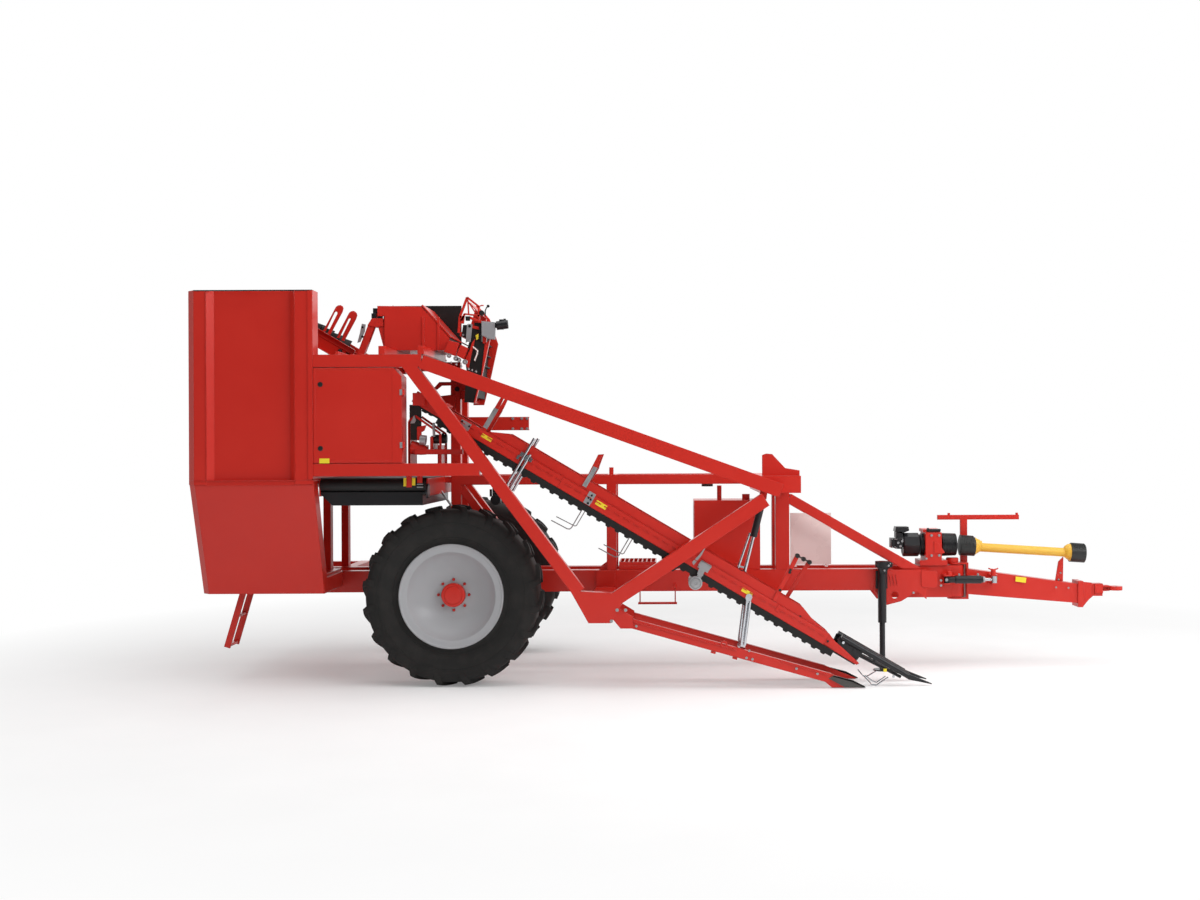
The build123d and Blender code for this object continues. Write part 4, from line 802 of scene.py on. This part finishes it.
addPlates(gearBox, -958, -902, [(-1946, 3552), (-1812, 3540), (-1815, 3372), (-1868, 3372),
                                (-1946, 3412)])
finishPiece(gearBox, "greyGearbox", greyEnamel)
drive = bmesh.new()
addPlates(drive, -948, -912, [(-1812, 3533), (-1765, 3556), (-1690, 3562), (-1682, 3486),
                              (-1765, 3478), (-1812, 3487)])
addRod(drive, (-1800, -930, 3508), (-1690, -930, 3522), 44, 28)
addBoxes(drive, ((-1772, -955, 3470), (-1732, -905, 3568)))
addPost(drive, -1720, -930, 3560, 3576, 12)
finishPiece(drive, "elevatorDrive", blackEnamel, stands=("elevator_motor",))

# topping head in front of the cabinet: open frame on two sides, cross bars and a cone
topping = bmesh.new()
toppingOutline = [(-2600, 2090), (-2600, 2560), (-2540, 2610), (-2300, 2440), (-2300, 2090)]
for near, far in ((-1300, -1290), (-960, -950)):
    for start, end in zip(toppingOutline, toppingOutline[1:] + toppingOutline[:1]):
        addBar(topping, start, end, 22, near, far)
addBoxes(topping, ((-2600, -1300, 2090), (-2592, -950, 2560)),
         ((-2600, -1300, 2090), (-2300, -950, 2100)), ((-2500, -1400, 2090), (-2420, -1300, 2150)),
         ((-2520, -1320, 2375), (-2479, -1296, 2506)), ((-2547, -1316, 2240), (-2083, -1284, 2290)),
         ((-2500, -1290, 2290), (-2470, -960, 2330)), ((-2400, -1290, 2290), (-2372, -960, 2410)),
         ((-2330, -1280, 2100), (-2304, -960, 2330)))
addPlates(topping, -1316, -1300, [(-2522, 2506), (-2430, 2522), (-2450, 2470), (-2473, 2455)])
addLathe(topping, (-2589, -1250, 2312), (1, 0, -0.25),
         [(66, 0), (64, 40), (52, 110), (36, 160), (0.5, 162), (0.5, 0)])
finishPiece(topping, "toppingHead", redEnamel, stands=("topping_frame",))

# slatted guard over the head, and its motor
slats = bmesh.new()
addBoxes(slats, ((-2596, -1292, 2380), (-2482, -1286, 2700)))
for z in range(2392, 2700, 34):
    addBoxes(slats, ((-2596, -1297, z), (-2486, -1292, z + 20)))
for start, end, radius in ((-2372, -2252, 44), (-2300, -2250, 30)):
    addRod(slats, (start, -1200, 2388), (end, -1200, 2388), radius)
addBoxes(slats, ((-2400, -1230, 2356), (-2340, -1170, 2420)))
addPost(slats, -2290, -1200, 2420, 2446, 12)
finishPiece(slats, "slattedGuard", conePlastic)
armTubes = bmesh.new()
addRod(armTubes, (-2358, -1310, 2410), (-2362, -1310, 2545), 13)
addRod(armTubes, (-2492, -1305, 2382), (-2436, -1305, 2376), 47, 28)
addPlates(armTubes, -1312, -1304, [(-2588, 2537), (-2548, 2618), (-2531, 2568), (-2546, 2540)])
addRod(armTubes, (-2441, -500, 1886), (-2320, -500, 1712), 12)
addDisc(armTubes, -2441, 1886, 18, -514, -486, 20)
addBoxes(armTubes, *[((-2520, -1341, z), (-2460, -1334, z + 9)) for z in (1950, 1922)])
finishPiece(armTubes, "armTubes", zincSteel)

# end of the cross conveyor: uprights in front of its belt, and the motor over the far wheel
uprights = bmesh.new()
for x, low in ((-2619, 1926), (-2516, 1966)):
    addBoxes(uprights, ((x, -1346, low), (x + 51, -1334, 2038)))
for x in (-2612, -2579, -2508, -2480):
    addBoxes(uprights, ((x, -1400, 2030), (x + 8, -1334, 2046)))
addPlates(uprights, -312, -300, [(-2498, 2903), (-2444, 2946), (-2297, 2949), (-2297, 2985),
                                 (-2470, 2985), (-2530, 2920)])
addBoxes(uprights, ((-2255, -290, 2808), (-2190, -214, 2898)))
finishPiece(uprights, "conveyorUprights", redEnamel)
motors = bmesh.new()
addDisc(motors, -1880, 1770, 52, -440, -330, 20)
addBoxes(motors, ((-1925, -330, 1730), (-1835, -302, 1921)))
addPost(motors, -1942, -320, 1800, 1876, 13)
addWire(motors, [(-1900, -420, 1800), (-1900, -420, 1835), (-1850, -420, 1840),
                 (-1800, -420, 1800), (-1780, -380, 1740)], 12)
addDisc(motors, -2289, 2912, 26, -306, -300, 20)
addNuts(motors, -896, 20, 12, (-3132, 3502), (-3132, 3408))
addRod(motors, (-2424, -1345, 1890), (-2404, -1345, 1890), 70)
finishPiece(motors, "blackMotors", blackEnamel)

# through bolts of the flanged bracket behind the lifting unit
bracketBolts = bmesh.new()
addNuts(bracketBolts, -300, 24, 10, (-1908, 2605), (-1715, 2605), (-1622, 2605), (-1567, 2605),
        (-1715, 2499), (-1623, 2499), (-1567, 2499))
finishPiece(bracketBolts, "bracketBolts", zincSteel)

# bunker: raised corner strip, ledge and filler strip at the fold, side strips, top rim of painted
# shade
bunker = {"rear": -4600, "front": -3640, "corner": -3472, "fold": 2004, "top": 3800}
bunkerTrim = bmesh.new()
addBoxes(bunkerTrim, ((-3522, -1506, bunker["fold"]), (bunker["corner"], -1500, 3797)),
         ((bunker["rear"], -1506, 1994), (bunker["front"], -1494, 2003)),
         ((bunker["rear"], -1494, 1950), (bunker["front"], -1392, 2003)))
for x in (-4484, -3644):
    addBoxes(bunkerTrim, ((x - 4, -1504, bunker["fold"]), (x + 4, -1500, 3796)))
addBoxes(bunkerTrim, ((-3482, -1506, bunker["fold"]), (bunker["corner"], -1400, 2012)))
finishPiece(bunkerTrim, "bunkerTrim", redEnamel)
# black rod along the top edge: painted shade of the folded lip and of the bunker's dark inside
rim = bmesh.new()
addRod(rim, (bunker["rear"], -1498, bunker["top"]), (-3474, -1498, bunker["top"]), 6, 12)
finishPiece(rim, "bunkerRimPaintedShade", blackEnamel)

# cabinet door: quarter-turn locks, blank plate and hinge pins
doorFace = -1500
locks = bmesh.new()
for z in (2907, 2301):
    addLathe(locks, (-3402, doorFace, z), toRight,
             [(24, 0), (24, 3), (20, 5), (12, 5), (12, 3), (0.5, 3), (0.5, 0)], 36)
    addBoxes(locks, ((-3406, doorFace - 6.5, z - 11), (-3398, doorFace - 2, z + 11)))
finishPiece(locks, "doorLocks", conePlastic, "door")
doorPlate = bmesh.new()
addBoxes(doorPlate, ((-3412, doorFace - 1.5, 2160), (-3318, doorFace, 2206)))
finishPiece(doorPlate, "doorPlate", platePlastic, "door")
pins = bmesh.new()
for z in (2300, 2800):
    addBoxes(pins, ((-2650, doorFace - 4, z + 2), (-2626, doorFace, z + 58)))
    addNuts(pins, doorFace - 4, 12, 4, (-2642, z + 30))
finishPiece(pins, "hingePins", zincSteel, "door")
print("upper frame dressed")

# pump on the neck: machined blocks, ribbed collar and slightly conical ribbed guard
pump = {
    "axis": 1265, "blockRadius": 124, "collarRadius": 119, "boltCircle": 104, "boltCount": 8,
    "collars": [(2547, 10), (2563, 10), (2579, 10), (2593, 9)], "guardRadius": 122,
    "guardBore": 112,
}
pumpRibs = bmesh.new()
block = pump["blockRadius"]
addLathe(pumpRibs, (2440, 0, pump["axis"]), forward,
         [(block - 6, -84), (block, -76), (block, 76), (block - 6, 84), (1, 84), (1, -84)], 8)
for x, width in pump["collars"]:
    addCollar(pumpRibs, (x, 0, pump["axis"]), forward, pump["collarRadius"], width, 48)
addCollar(pumpRibs, (2536, 0, pump["axis"]), forward, 108, 68, 48)
addLathe(pumpRibs, (2762, 0, pump["axis"]), forward,
         ribRows(9, 17, pump["guardRadius"], 4, 0.6)
         + [(pump["guardBore"], 152), (pump["guardBore"], 40), (1, 40), (1, 0)], 56)
addCollar(pumpRibs, (2600, 0, pump["axis"]), forward, 70, 180, 32)
addBoxes(pumpRibs, ((2274, -88, 1226), (2352, 60, 1336)), ((2227, -80, 1237), (2274, 60, 1337)),
         ((2279, -70, 1340), (2345, 60, 1406)), ((2262, -60, 1262), (2300, 60, 1330)))
addPlates(pumpRibs, -70, 70, [(2279, 1457), (2410, 1456), (2417, 1416), (2344, 1386),
                              (2269, 1407)])
finishPiece(pumpRibs, "ribbedPump", blackEnamel, stands=("pump_unit",))
ports = bmesh.new()
for x, z in ((2298, 1290), (2322, 1254), (2340, 1306)):
    addLathe(ports, (x, -88, z), toRight,
             [(12, 0), (12, 5), (6, 5), (6, 1), (0.5, 1), (0.5, 0)], 24)
addNuts(ports, -88, 10, 5, (2281, 1234), (2281, 1326), (2345, 1234), (2345, 1326))
addNuts(ports, -80, 10, 5, (2236, 1245), (2266, 1245), (2236, 1328), (2266, 1328))
for degrees in range(0, 360, 360 // pump["boltCount"]):
    turn = math.radians(degrees)
    addNut(ports, (2602, pump["boltCircle"] * math.sin(turn),
                   pump["axis"] + pump["boltCircle"] * math.cos(turn)), forward, 13, 6)
finishPiece(ports, "pumpPorts", zincSteel)

# headstock that carries the pump: bolts, cap, gussets and the collars of the steering pin
headBolts = bmesh.new()
addNuts(headBolts, -150, 22, 10, (2635, 1370), (2715, 1370), (2635, 1160), (2715, 1160))
addNuts(headBolts, -158, 18, 10, (2580, 1129))
addNuts(headBolts, -314, 20, 9, (2415, 790), (2700, 915), (2700, 862))
finishPiece(headBolts, "headBolts", zincSteel)
capBlack = bmesh.new()
addBoxes(capBlack, ((2590, -146, 1410), (2732, -100, 1436)))
addPost(capBlack, 2604, -120, 1436, 1446, 10)
finishPiece(capBlack, "headCap", blackEnamel)
neckPlates = bmesh.new()
addPlates(neckPlates, -322, -314,
          [(2504, 1015), (2494, 990), (2494, 880), (2506, 852), (2530, 842), (2647, 842),
           (2660, 860), (2660, 1000), (2640, 1015)])
addPlates(neckPlates, -156, -150, [(2660, 1310), (2670, 1310), (2715, 1284), (2775, 1189),
                                   (2750, 1180), (2660, 1180)])
for low in (2163, 2195, 2227):
    addPlates(neckPlates, -320, -314, [(low, 975), (low + 8, 975), (low + 28, 868),
                                       (low + 20, 868)])
for z, run in ((1076, 52), (714, 46)):
    addLathe(neckPlates, (2880, 0, z), upward,
             [(60, 0), (66, 8), (66, run - 10), (56, run), (1, run), (1, 0)])
finishPiece(neckPlates, "neckPlates", redEnamel)

# drive shaft guard: yellow cones at its ends, ribbed black bells
shaftLine = {"rear": (3108, 1258), "front": (4126, 1182), "ribs": 8, "ribPitch": 18,
             "bellRadius": 97, "ribDepth": 7}


def shaftPoint(x):
    (rearX, rearZ), (frontX, frontZ) = shaftLine["rear"], shaftLine["front"]
    return (x, 0, rearZ + (x - rearX) * (frontZ - rearZ) / (frontX - rearX))


shaftAim = Vector(shaftPoint(4126)) - Vector(shaftPoint(3108))
cones = bmesh.new()
addLathe(cones, shaftPoint(3112), shaftAim,
         [(82, 0), (78, 12), (62, 40), (62, 52), (50, 62), (50, 76), (1, 76), (1, 0)], 48)
addLathe(cones, shaftPoint(4058), shaftAim,
         [(44, 0), (58, 8), (72, 24), (82, 44), (84, 70), (1, 70), (1, 0)], 48)
finishPiece(cones, "guardCones", guardPlastic, "drawbar")
bells = bmesh.new()
bellLength = shaftLine["ribs"] * shaftLine["ribPitch"] - 1
bellRows = ribRows(shaftLine["ribs"], shaftLine["ribPitch"], shaftLine["bellRadius"],
                   shaftLine["ribDepth"])
for start in (2958, 4128):
    addLathe(bells, shaftPoint(start), shaftAim, bellRows + [(1, bellLength), (1, 0)], 56)
finishPiece(bells, "ribbedBells", conePlastic, "drawbar")

# steering cylinder: gland, port unions and guard sleeve on the barrel
steer = {"y": -230, "z": 915, "sleeveStart": 2858, "unions": (2905, 3100)}
steerSteel = bmesh.new()
addRod(steerSteel, (3152, steer["y"], steer["z"]), (3172, steer["y"], steer["z"]), 30, 32)
addNuts(steerSteel, -262, 26, 6, (2769, steer["z"]))
for x in steer["unions"]:
    addPost(steerSteel, x, steer["y"], 948, 968, 11)
    addNut(steerSteel, (x, steer["y"], 966), upward, 19, 10)
finishPiece(steerSteel, "steerFittings", zincSteel, "steer_barrel")
sleeve = bmesh.new()
addLathe(sleeve, (steer["sleeveStart"], steer["y"], steer["z"]), forward,
         [(35, 0), (42, 8), (42, 272), (35, 280), (20, 280), (20, 0)])
finishPiece(sleeve, "steerSleeve", blackEnamel, "steer_barrel")

# pins over the cylinder's eyes, with their spring clips
steerPins = bmesh.new()
addPost(steerPins, 2803, steer["y"], 954, 1002, 30, 24)
addBoxes(steerPins, ((2745, -250, 953), (2860, -212, 960)))
addLathe(steerPins, (3260, steer["y"], 956), upward,
         [(26, 0), (26, 58), (20, 66), (1, 66), (1, 0)], 24)
for bends in ([(3260, 1018), (3300, 1026), (3306, 1034)],
              [(3206, 1032), (3230, 1022), (3256, 1020)]):
    addWire(steerPins, [(x, -240, z) for x, z in bends], 7)
finishPiece(steerPins, "steerPins", redEnamel, "drawbar")

# drawbar: blank plate, end gussets, hitch tongue, posts and bolts
drawbarPlate = bmesh.new()
addPlates(drawbarPlate, -113, -110, [(3523, 934), (3634, 920), (3627, 866), (3518, 882)])
finishPiece(drawbarPlate, "drawbarPlate", platePlastic, "drawbar")
drawbarBits = bmesh.new()
addPlates(drawbarBits, -70, -62, [(4204, 875), (4330, 862), (4330, 720), (4240, 612),
                                  (4204, 605)])
addBoxes(drawbarBits, ((4366, -62, 748), (4452, 62, 848)))
addPlates(drawbarBits, -40, 40, [(4452, 830), (4520, 830), (4600, 806), (4600, 796), (4520, 772),
                                 (4452, 768)])
for x in (2877, 3601):
    addPost(drawbarBits, x, 150, 1560, 1590, 14)
finishPiece(drawbarBits, "drawbarGussets", redEnamel, "drawbar")
drawbarBolts = bmesh.new()
addNuts(drawbarBolts, -112, 16, 8, (3944, 819), (4074, 812))
addNuts(drawbarBolts, -8, 16, 8, (4000, 890), (4020, 960))
finishPiece(drawbarBolts, "drawbarBolts", zincSteel, "drawbar")

# parking jack: rounded crank housing over the tube, hollow where the leg runs
jackNear, jackFar = -430, -310
jackHead = bmesh.new()
headOutline = [(2022, 1104), (2034, 1118), (2168, 1118), (2180, 1104), (2184, 1068),
               (2139, 1050), (2120, 1000), (2060, 1000), (2036, 1062), (2022, 1070)]
addPlates(jackHead, jackNear, jackNear + 10, headOutline)
addPlates(jackHead, jackFar - 10, jackFar, headOutline)
addBoxes(jackHead, ((2034, -420, 1088), (2168, -320, 1118)),
         ((2024, -420, 1070), (2034, -320, 1106)), ((2150, -420, 1070), (2180, -320, 1106)))
finishPiece(jackHead, "jackHead", blackEnamel)
jackBits = bmesh.new()
for x, z, across, height in ((2142, 1080, 18, 8), (2160, 1100, 12, 6), (2098, 1030, 18, 12)):
    addNuts(jackBits, jackNear, across, height, (x, z))
finishPiece(jackBits, "jackBolts", zincSteel)

# lift cylinder: pale cover tube beside the rod, black collars at its eye
liftRod = {
    "top": (742, 1485), "foot": (590, 1033), "coverTop": (728, 1450), "coverFoot": (612, 1112),
    "coverGap": 50,             # from the rod to the tube, so that the barrel passes inside it
    "collar": (604, 1090),
}
rodAxis = Vector((liftRod["foot"][0] - liftRod["top"][0], 0,
                  liftRod["foot"][1] - liftRod["top"][1])).normalized()
gap = Vector((rodAxis.z, 0, -rodAxis.x)) * liftRod["coverGap"]
tubes = bmesh.new()
start, end = [Vector((x, liftPlace["y"], z)) + gap
              for x, z in (liftRod["coverTop"], liftRod["coverFoot"])]
addRod(tubes, start, end, 12)
addBar(tubes, (end.x - 6, end.z + 20), (end.x + 56, end.z + 2), 16, -1172, -1152)
finishPiece(tubes, "coverTubes", chromeSteel, "lift_rod")
fittings = bmesh.new()
for run, radius in ((0, 40), (40, 30)):
    place = Vector((liftRod["collar"][0], liftPlace["y"], liftRod["collar"][1])) + rodAxis * run
    addRod(fittings, place - rodAxis * 12, place + rodAxis * 6, radius, 28)
finishPiece(fittings, "rodFittings", blackEnamel, "lift_rod")

# share arms: ridge bars along their outer faces, brackets and an eye ring
armTrim = bmesh.new()
for near, far in ((-1453, -1445), (-885, -877)):
    addBar(armTrim, (-448, 640), (533, 364), 10, near, far)
    addBar(armTrim, (948, 262), (1400, 128), 10, near, far)
for x, z in ((310, 340), (515, 284)):
    addBar(armTrim, (x - 22, z + 12), (x + 22, z), 20, -1440, -1400)
addLathe(armTrim, (411, -1446, 425), toRight, [(34, 0), (34, 8), (16, 8), (16, 0)], 32)
finishPiece(armTrim, "shareArmTrim", redEnamel, "share_arms")
armBolts = bmesh.new()
addNuts(armBolts, -1446, 20, 9, (-506, 619), (-484, 689), (-420, 600), (652, 362), (626, 294),
        (681, 281), (1100, 190), (1300, 140))
finishPiece(armBolts, "shareArmBolts", zincSteel, "share_arms")

# the shares: two cheeks with a worn cutting blade between them
shareCheek = [(1405, 96), (1452, 124), (1640, 74), (1756, 14), (1752, 8), (1560, 10)]
shareBlade = [(1452, 124), (1640, 74), (1756, 14), (1740, 10), (1630, 62), (1452, 112)]
shares = bmesh.new()
for near, far in ((-1450, -1416), (-914, -880)):
    addPlates(shares, near, near + 6, shareCheek)
    addPlates(shares, far - 6, far, shareCheek)
    addPlates(shares, near, far, shareBlade)
finishPiece(shares, "groundShares", wornSteel, "share_arms")

# links between the unit and its arms: twin tubes with eyes round the pins
links = bmesh.new()
for across in (-1347, -977):
    for offset in (-16, 16):
        addRod(links, (651 + offset, across, 822), (596 + offset, across, 400), 15)
    for x, z in ((657, 862), (590, 355)):
        addCollar(links, (x, across - 12, z), (0, 1, 0), 31, 24)
    addPlates(links, across - 8, across + 8, [(622, 864), (684, 858), (672, 806), (632, 808)],
              [(564, 350), (618, 352), (620, 416), (574, 418)])
finishPiece(links, "twinLinks", chromeSteel, "link_rods", ("link_rods",))

# crop dividers: a long tube with a flattened tip on each side, its brackets and feed rollers
divider = {
    "root": (1545, 468), "tip": (2190, 92), "slope": 0.583,
    "braceRoot": (1630, 350), "braceSlope": 0.523, "braces": (1690, 1880, 2040),
    "tipOutline": [(2150, 138), (2200, 110), (2412, 22), (2409, 14), (2186, 60), (2140, 92)],
    "cheek": [(1470, 340), (1530, 470), (1640, 428), (1760, 330), (1700, 250), (1560, 300)],
    "rollers": [(1560, 402, 34), (1637, 340, 26), (1540, 340, 22)],
}
dividers = bmesh.new()
(rootX, rootZ), (tipX, tipZ) = divider["root"], divider["tip"]
braceX, braceZ = divider["braceRoot"]
for outer, inner, inward in ((-1304, -1270, 1), (-1020, -1054, -1)):
    addRod(dividers, (rootX, outer, rootZ), (tipX, outer, tipZ), 29, 28)
    addPlates(dividers, outer - 10, outer + 10, divider["tipOutline"])
    addRod(dividers, (1600, inner, 350), (2120, inner, 78), 15, 16)
    for low in divider["braces"]:
        top = rootZ - (low - rootX) * divider["slope"]
        addBar(dividers, (low, top), (low - 30, braceZ - (low - braceX) * divider["braceSlope"]),
               26, min(outer, inner) + 6, max(outer, inner) - 6)
    addPlates(dividers, *sorted((outer + 8 * inward, outer + 16 * inward)), divider["cheek"])
    for x, z, radius in divider["rollers"]:
        addCollar(dividers, (x, inner, z), (0, inward, 0), radius, 60, 24)
finishPiece(dividers, "tubeDividers", blackEnamel, "lifting_unit", ("divider_bars",))

# silver spring wires between the tubes, their clamps, and a blank clip
wires = bmesh.new()
for y, bends in ((-1318, [(1745, 106), (1800, 52), (1828, 16), (1880, 10), (1992, 85)]),
                 (-1318, [(1765, 104), (1836, 52), (1880, 34), (1966, 94)]),
                 (-1006, [(1743, 110), (1795, 44), (1839, 45), (1926, 96)])):
    addWire(wires, [(x, y, z) for x, z in bends], 6)
addNuts(wires, -1334, 22, 10, (2040, 92), (1560, 420))
finishPiece(wires, "dividerWires", chromeSteel, "lifting_unit")
clip = bmesh.new()
addBoxes(clip, ((1945, -1338, 138), (1975, -1330, 168)))
finishPiece(clip, "dividerClip", platePlastic, "lifting_unit")

# bolts round the arms' pivot, and the filler cap on the oil tank
frameBolts = bmesh.new()
addNuts(frameBolts, -1500, 26, 9, (-655, 655), (-600, 760), (-520, 760))
finishPiece(frameBolts, "frameBolts", zincSteel)
tankCap = bmesh.new()
addLathe(tankCap, (300, 0, 1888), upward, [(60, 0), (60, 26), (48, 36), (1, 36), (1, 0)])
finishPiece(tankCap, "tankCap", conePlastic)
print("front dressed")

# floor, light and camera; places and sizes are in metres from here on
studio = {
    "floorSize": 90, "floorColour": "#f4f4f4", "clearRadius": (3.5, 9.0), "clearLow": 0.2,
    "rollerMm": 900, "skyStrength": 0.42, "mirrorEdge": (0.1, 0.8), "mirrorStrength": (0.12, 1.1),
}
# each softbox: place, what it faces, width and length, watts
softboxes = {
    "overheadSoftbox": ((0, -1.5, 9), (0, 0, 0), (13, 7), 560),
    "keySoftbox": ((9, -10, 8), (-1, 0, 1.5), (7, 5), 640),
    "sideSoftbox": ((12, -3, 7), (0, 0, 2), (5, 5), 420),
}
sideCamera = {"place": (-0.112, -14.58, 2.273), "lens": 41.46, "shiftX": -0.0567, "roll": -0.24}


def makeFloor():
    # painted studio floor: takes the machine's shadow near it and fades to plain white further out
    material, tree, shader = newMaterial("rolledWhiteFloorPaint")
    output = [node for node in tree.nodes if node.type == "OUTPUT_MATERIAL"][0]
    near, far = studio["clearRadius"]
    coords = addNode(tree, "ShaderNodeTexCoord")
    rolled = addNode(tree, "ShaderNodeTexNoise",
                     values={"Scale": perMm(studio["rollerMm"]), "Detail": 2},
                     links={"Vector": coords.outputs["Object"]})
    tone = addNode(tree, "ShaderNodeMix", {"data_type": "RGBA"},
                   {6: hexColour(studio["floorColour"]), 7: hexColour("#ffffff")},
                   {0: rolled.outputs["Fac"]})
    setSockets(tree, shader, {"Roughness": 0.9}, {"Base Color": tone.outputs[2]})
    white = addNode(tree, "ShaderNodeEmission", values={"Color": (1, 1, 1, 1), "Strength": 1})
    distance = addNode(tree, "ShaderNodeVectorMath", {"operation": "LENGTH"},
                       links={0: coords.outputs["Object"]})
    fade = addNode(tree, "ShaderNodeMapRange",
                   values={"From Min": near, "From Max": far, "To Min": studio["clearLow"]},
                   links={"Value": distance.outputs["Value"]})
    path = addNode(tree, "ShaderNodeLightPath")
    amount = addNode(tree, "ShaderNodeMath", {"operation": "MULTIPLY"},
                     links={0: fade.outputs["Result"], 1: path.outputs["Is Camera Ray"]})
    blend = addNode(tree, "ShaderNodeMixShader",
                    links={0: amount.outputs["Value"], 1: shader.outputs["BSDF"],
                           2: white.outputs["Emission"]})
    tree.links.new(blend.outputs["Shader"], output.inputs["Surface"])
    half = studio["floorSize"] / 2
    mesh = bpy.data.meshes.new("studioFloor")
    mesh.from_pydata([(-half, -half, 0), (half, -half, 0), (half, half, 0), (-half, half, 0)],
                     [], [(0, 1, 2, 3)])
    mesh.materials.append(material)
    floor = bpy.data.objects.new("studioFloor", mesh)
    bpy.context.scene.collection.objects.link(floor)


def makeWorld():
    # seen straight it is plain white; paint and metal mirror a white backdrop behind the machine
    # and the dark hall in front of it
    world = bpy.data.worlds.new("paleStudio")
    bpy.context.scene.world = world
    world.use_nodes = True
    tree = world.node_tree
    tree.nodes.clear()
    white = (1, 1, 1, 1)
    (front, back), (low, high) = studio["mirrorEdge"], studio["mirrorStrength"]
    path = addNode(tree, "ShaderNodeLightPath")
    coords = addNode(tree, "ShaderNodeTexCoord")
    toward = addNode(tree, "ShaderNodeSeparateXYZ", links={0: coords.outputs["Generated"]})
    mirrored = addNode(tree, "ShaderNodeMapRange",
                       values={"From Min": front, "From Max": back, "To Min": low, "To Max": high},
                       links={"Value": toward.outputs["Y"]})
    sky = addNode(tree, "ShaderNodeBackground",
                  values={"Color": white, "Strength": studio["skyStrength"]})
    backdrop = addNode(tree, "ShaderNodeBackground", values={"Color": white, "Strength": 1})
    mirror = addNode(tree, "ShaderNodeBackground", values={"Color": white},
                     links={"Strength": mirrored.outputs["Result"]})
    shader = sky
    for ray, other in (("Is Camera Ray", backdrop), ("Is Transmission Ray", backdrop),
                       ("Is Glossy Ray", mirror)):
        shader = addNode(tree, "ShaderNodeMixShader",
                         links={0: path.outputs[ray], 1: shader.outputs[0], 2: other.outputs[0]})
    addNode(tree, "ShaderNodeOutputWorld", links={"Surface": shader.outputs[0]})


def addSoftbox(name, place, aim, size, energy):
    light = bpy.data.lights.new(name, "AREA")
    light.shape = "RECTANGLE"
    light.size, light.size_y = size
    light.energy = energy
    lamp = bpy.data.objects.new(name, light)
    lamp.location = place
    lamp.rotation_euler = (Vector(aim) - Vector(place)).to_track_quat("-Z", "Y").to_euler()
    bpy.context.scene.collection.objects.link(lamp)


def placeCamera():
    camera = bpy.data.objects.new("sideCamera", bpy.data.cameras.new("sideCamera"))
    camera.data.lens = sideCamera["lens"]
    camera.data.shift_x = sideCamera["shiftX"]
    camera.data.clip_end = 200
    camera.matrix_world = (Matrix.Translation(sideCamera["place"])
                           @ Matrix.Rotation(math.radians(90), 4, "X")
                           @ Matrix.Rotation(math.radians(sideCamera["roll"]), 4, "Z"))
    bpy.context.scene.collection.objects.link(camera)
    bpy.context.scene.camera = camera


makeFloor()
makeWorld()
for name, (place, aim, size, energy) in softboxes.items():
    addSoftbox(name, place, aim, size, energy)
placeCamera()
bpy.context.scene.view_settings.view_transform = "Standard"
print("studio set")
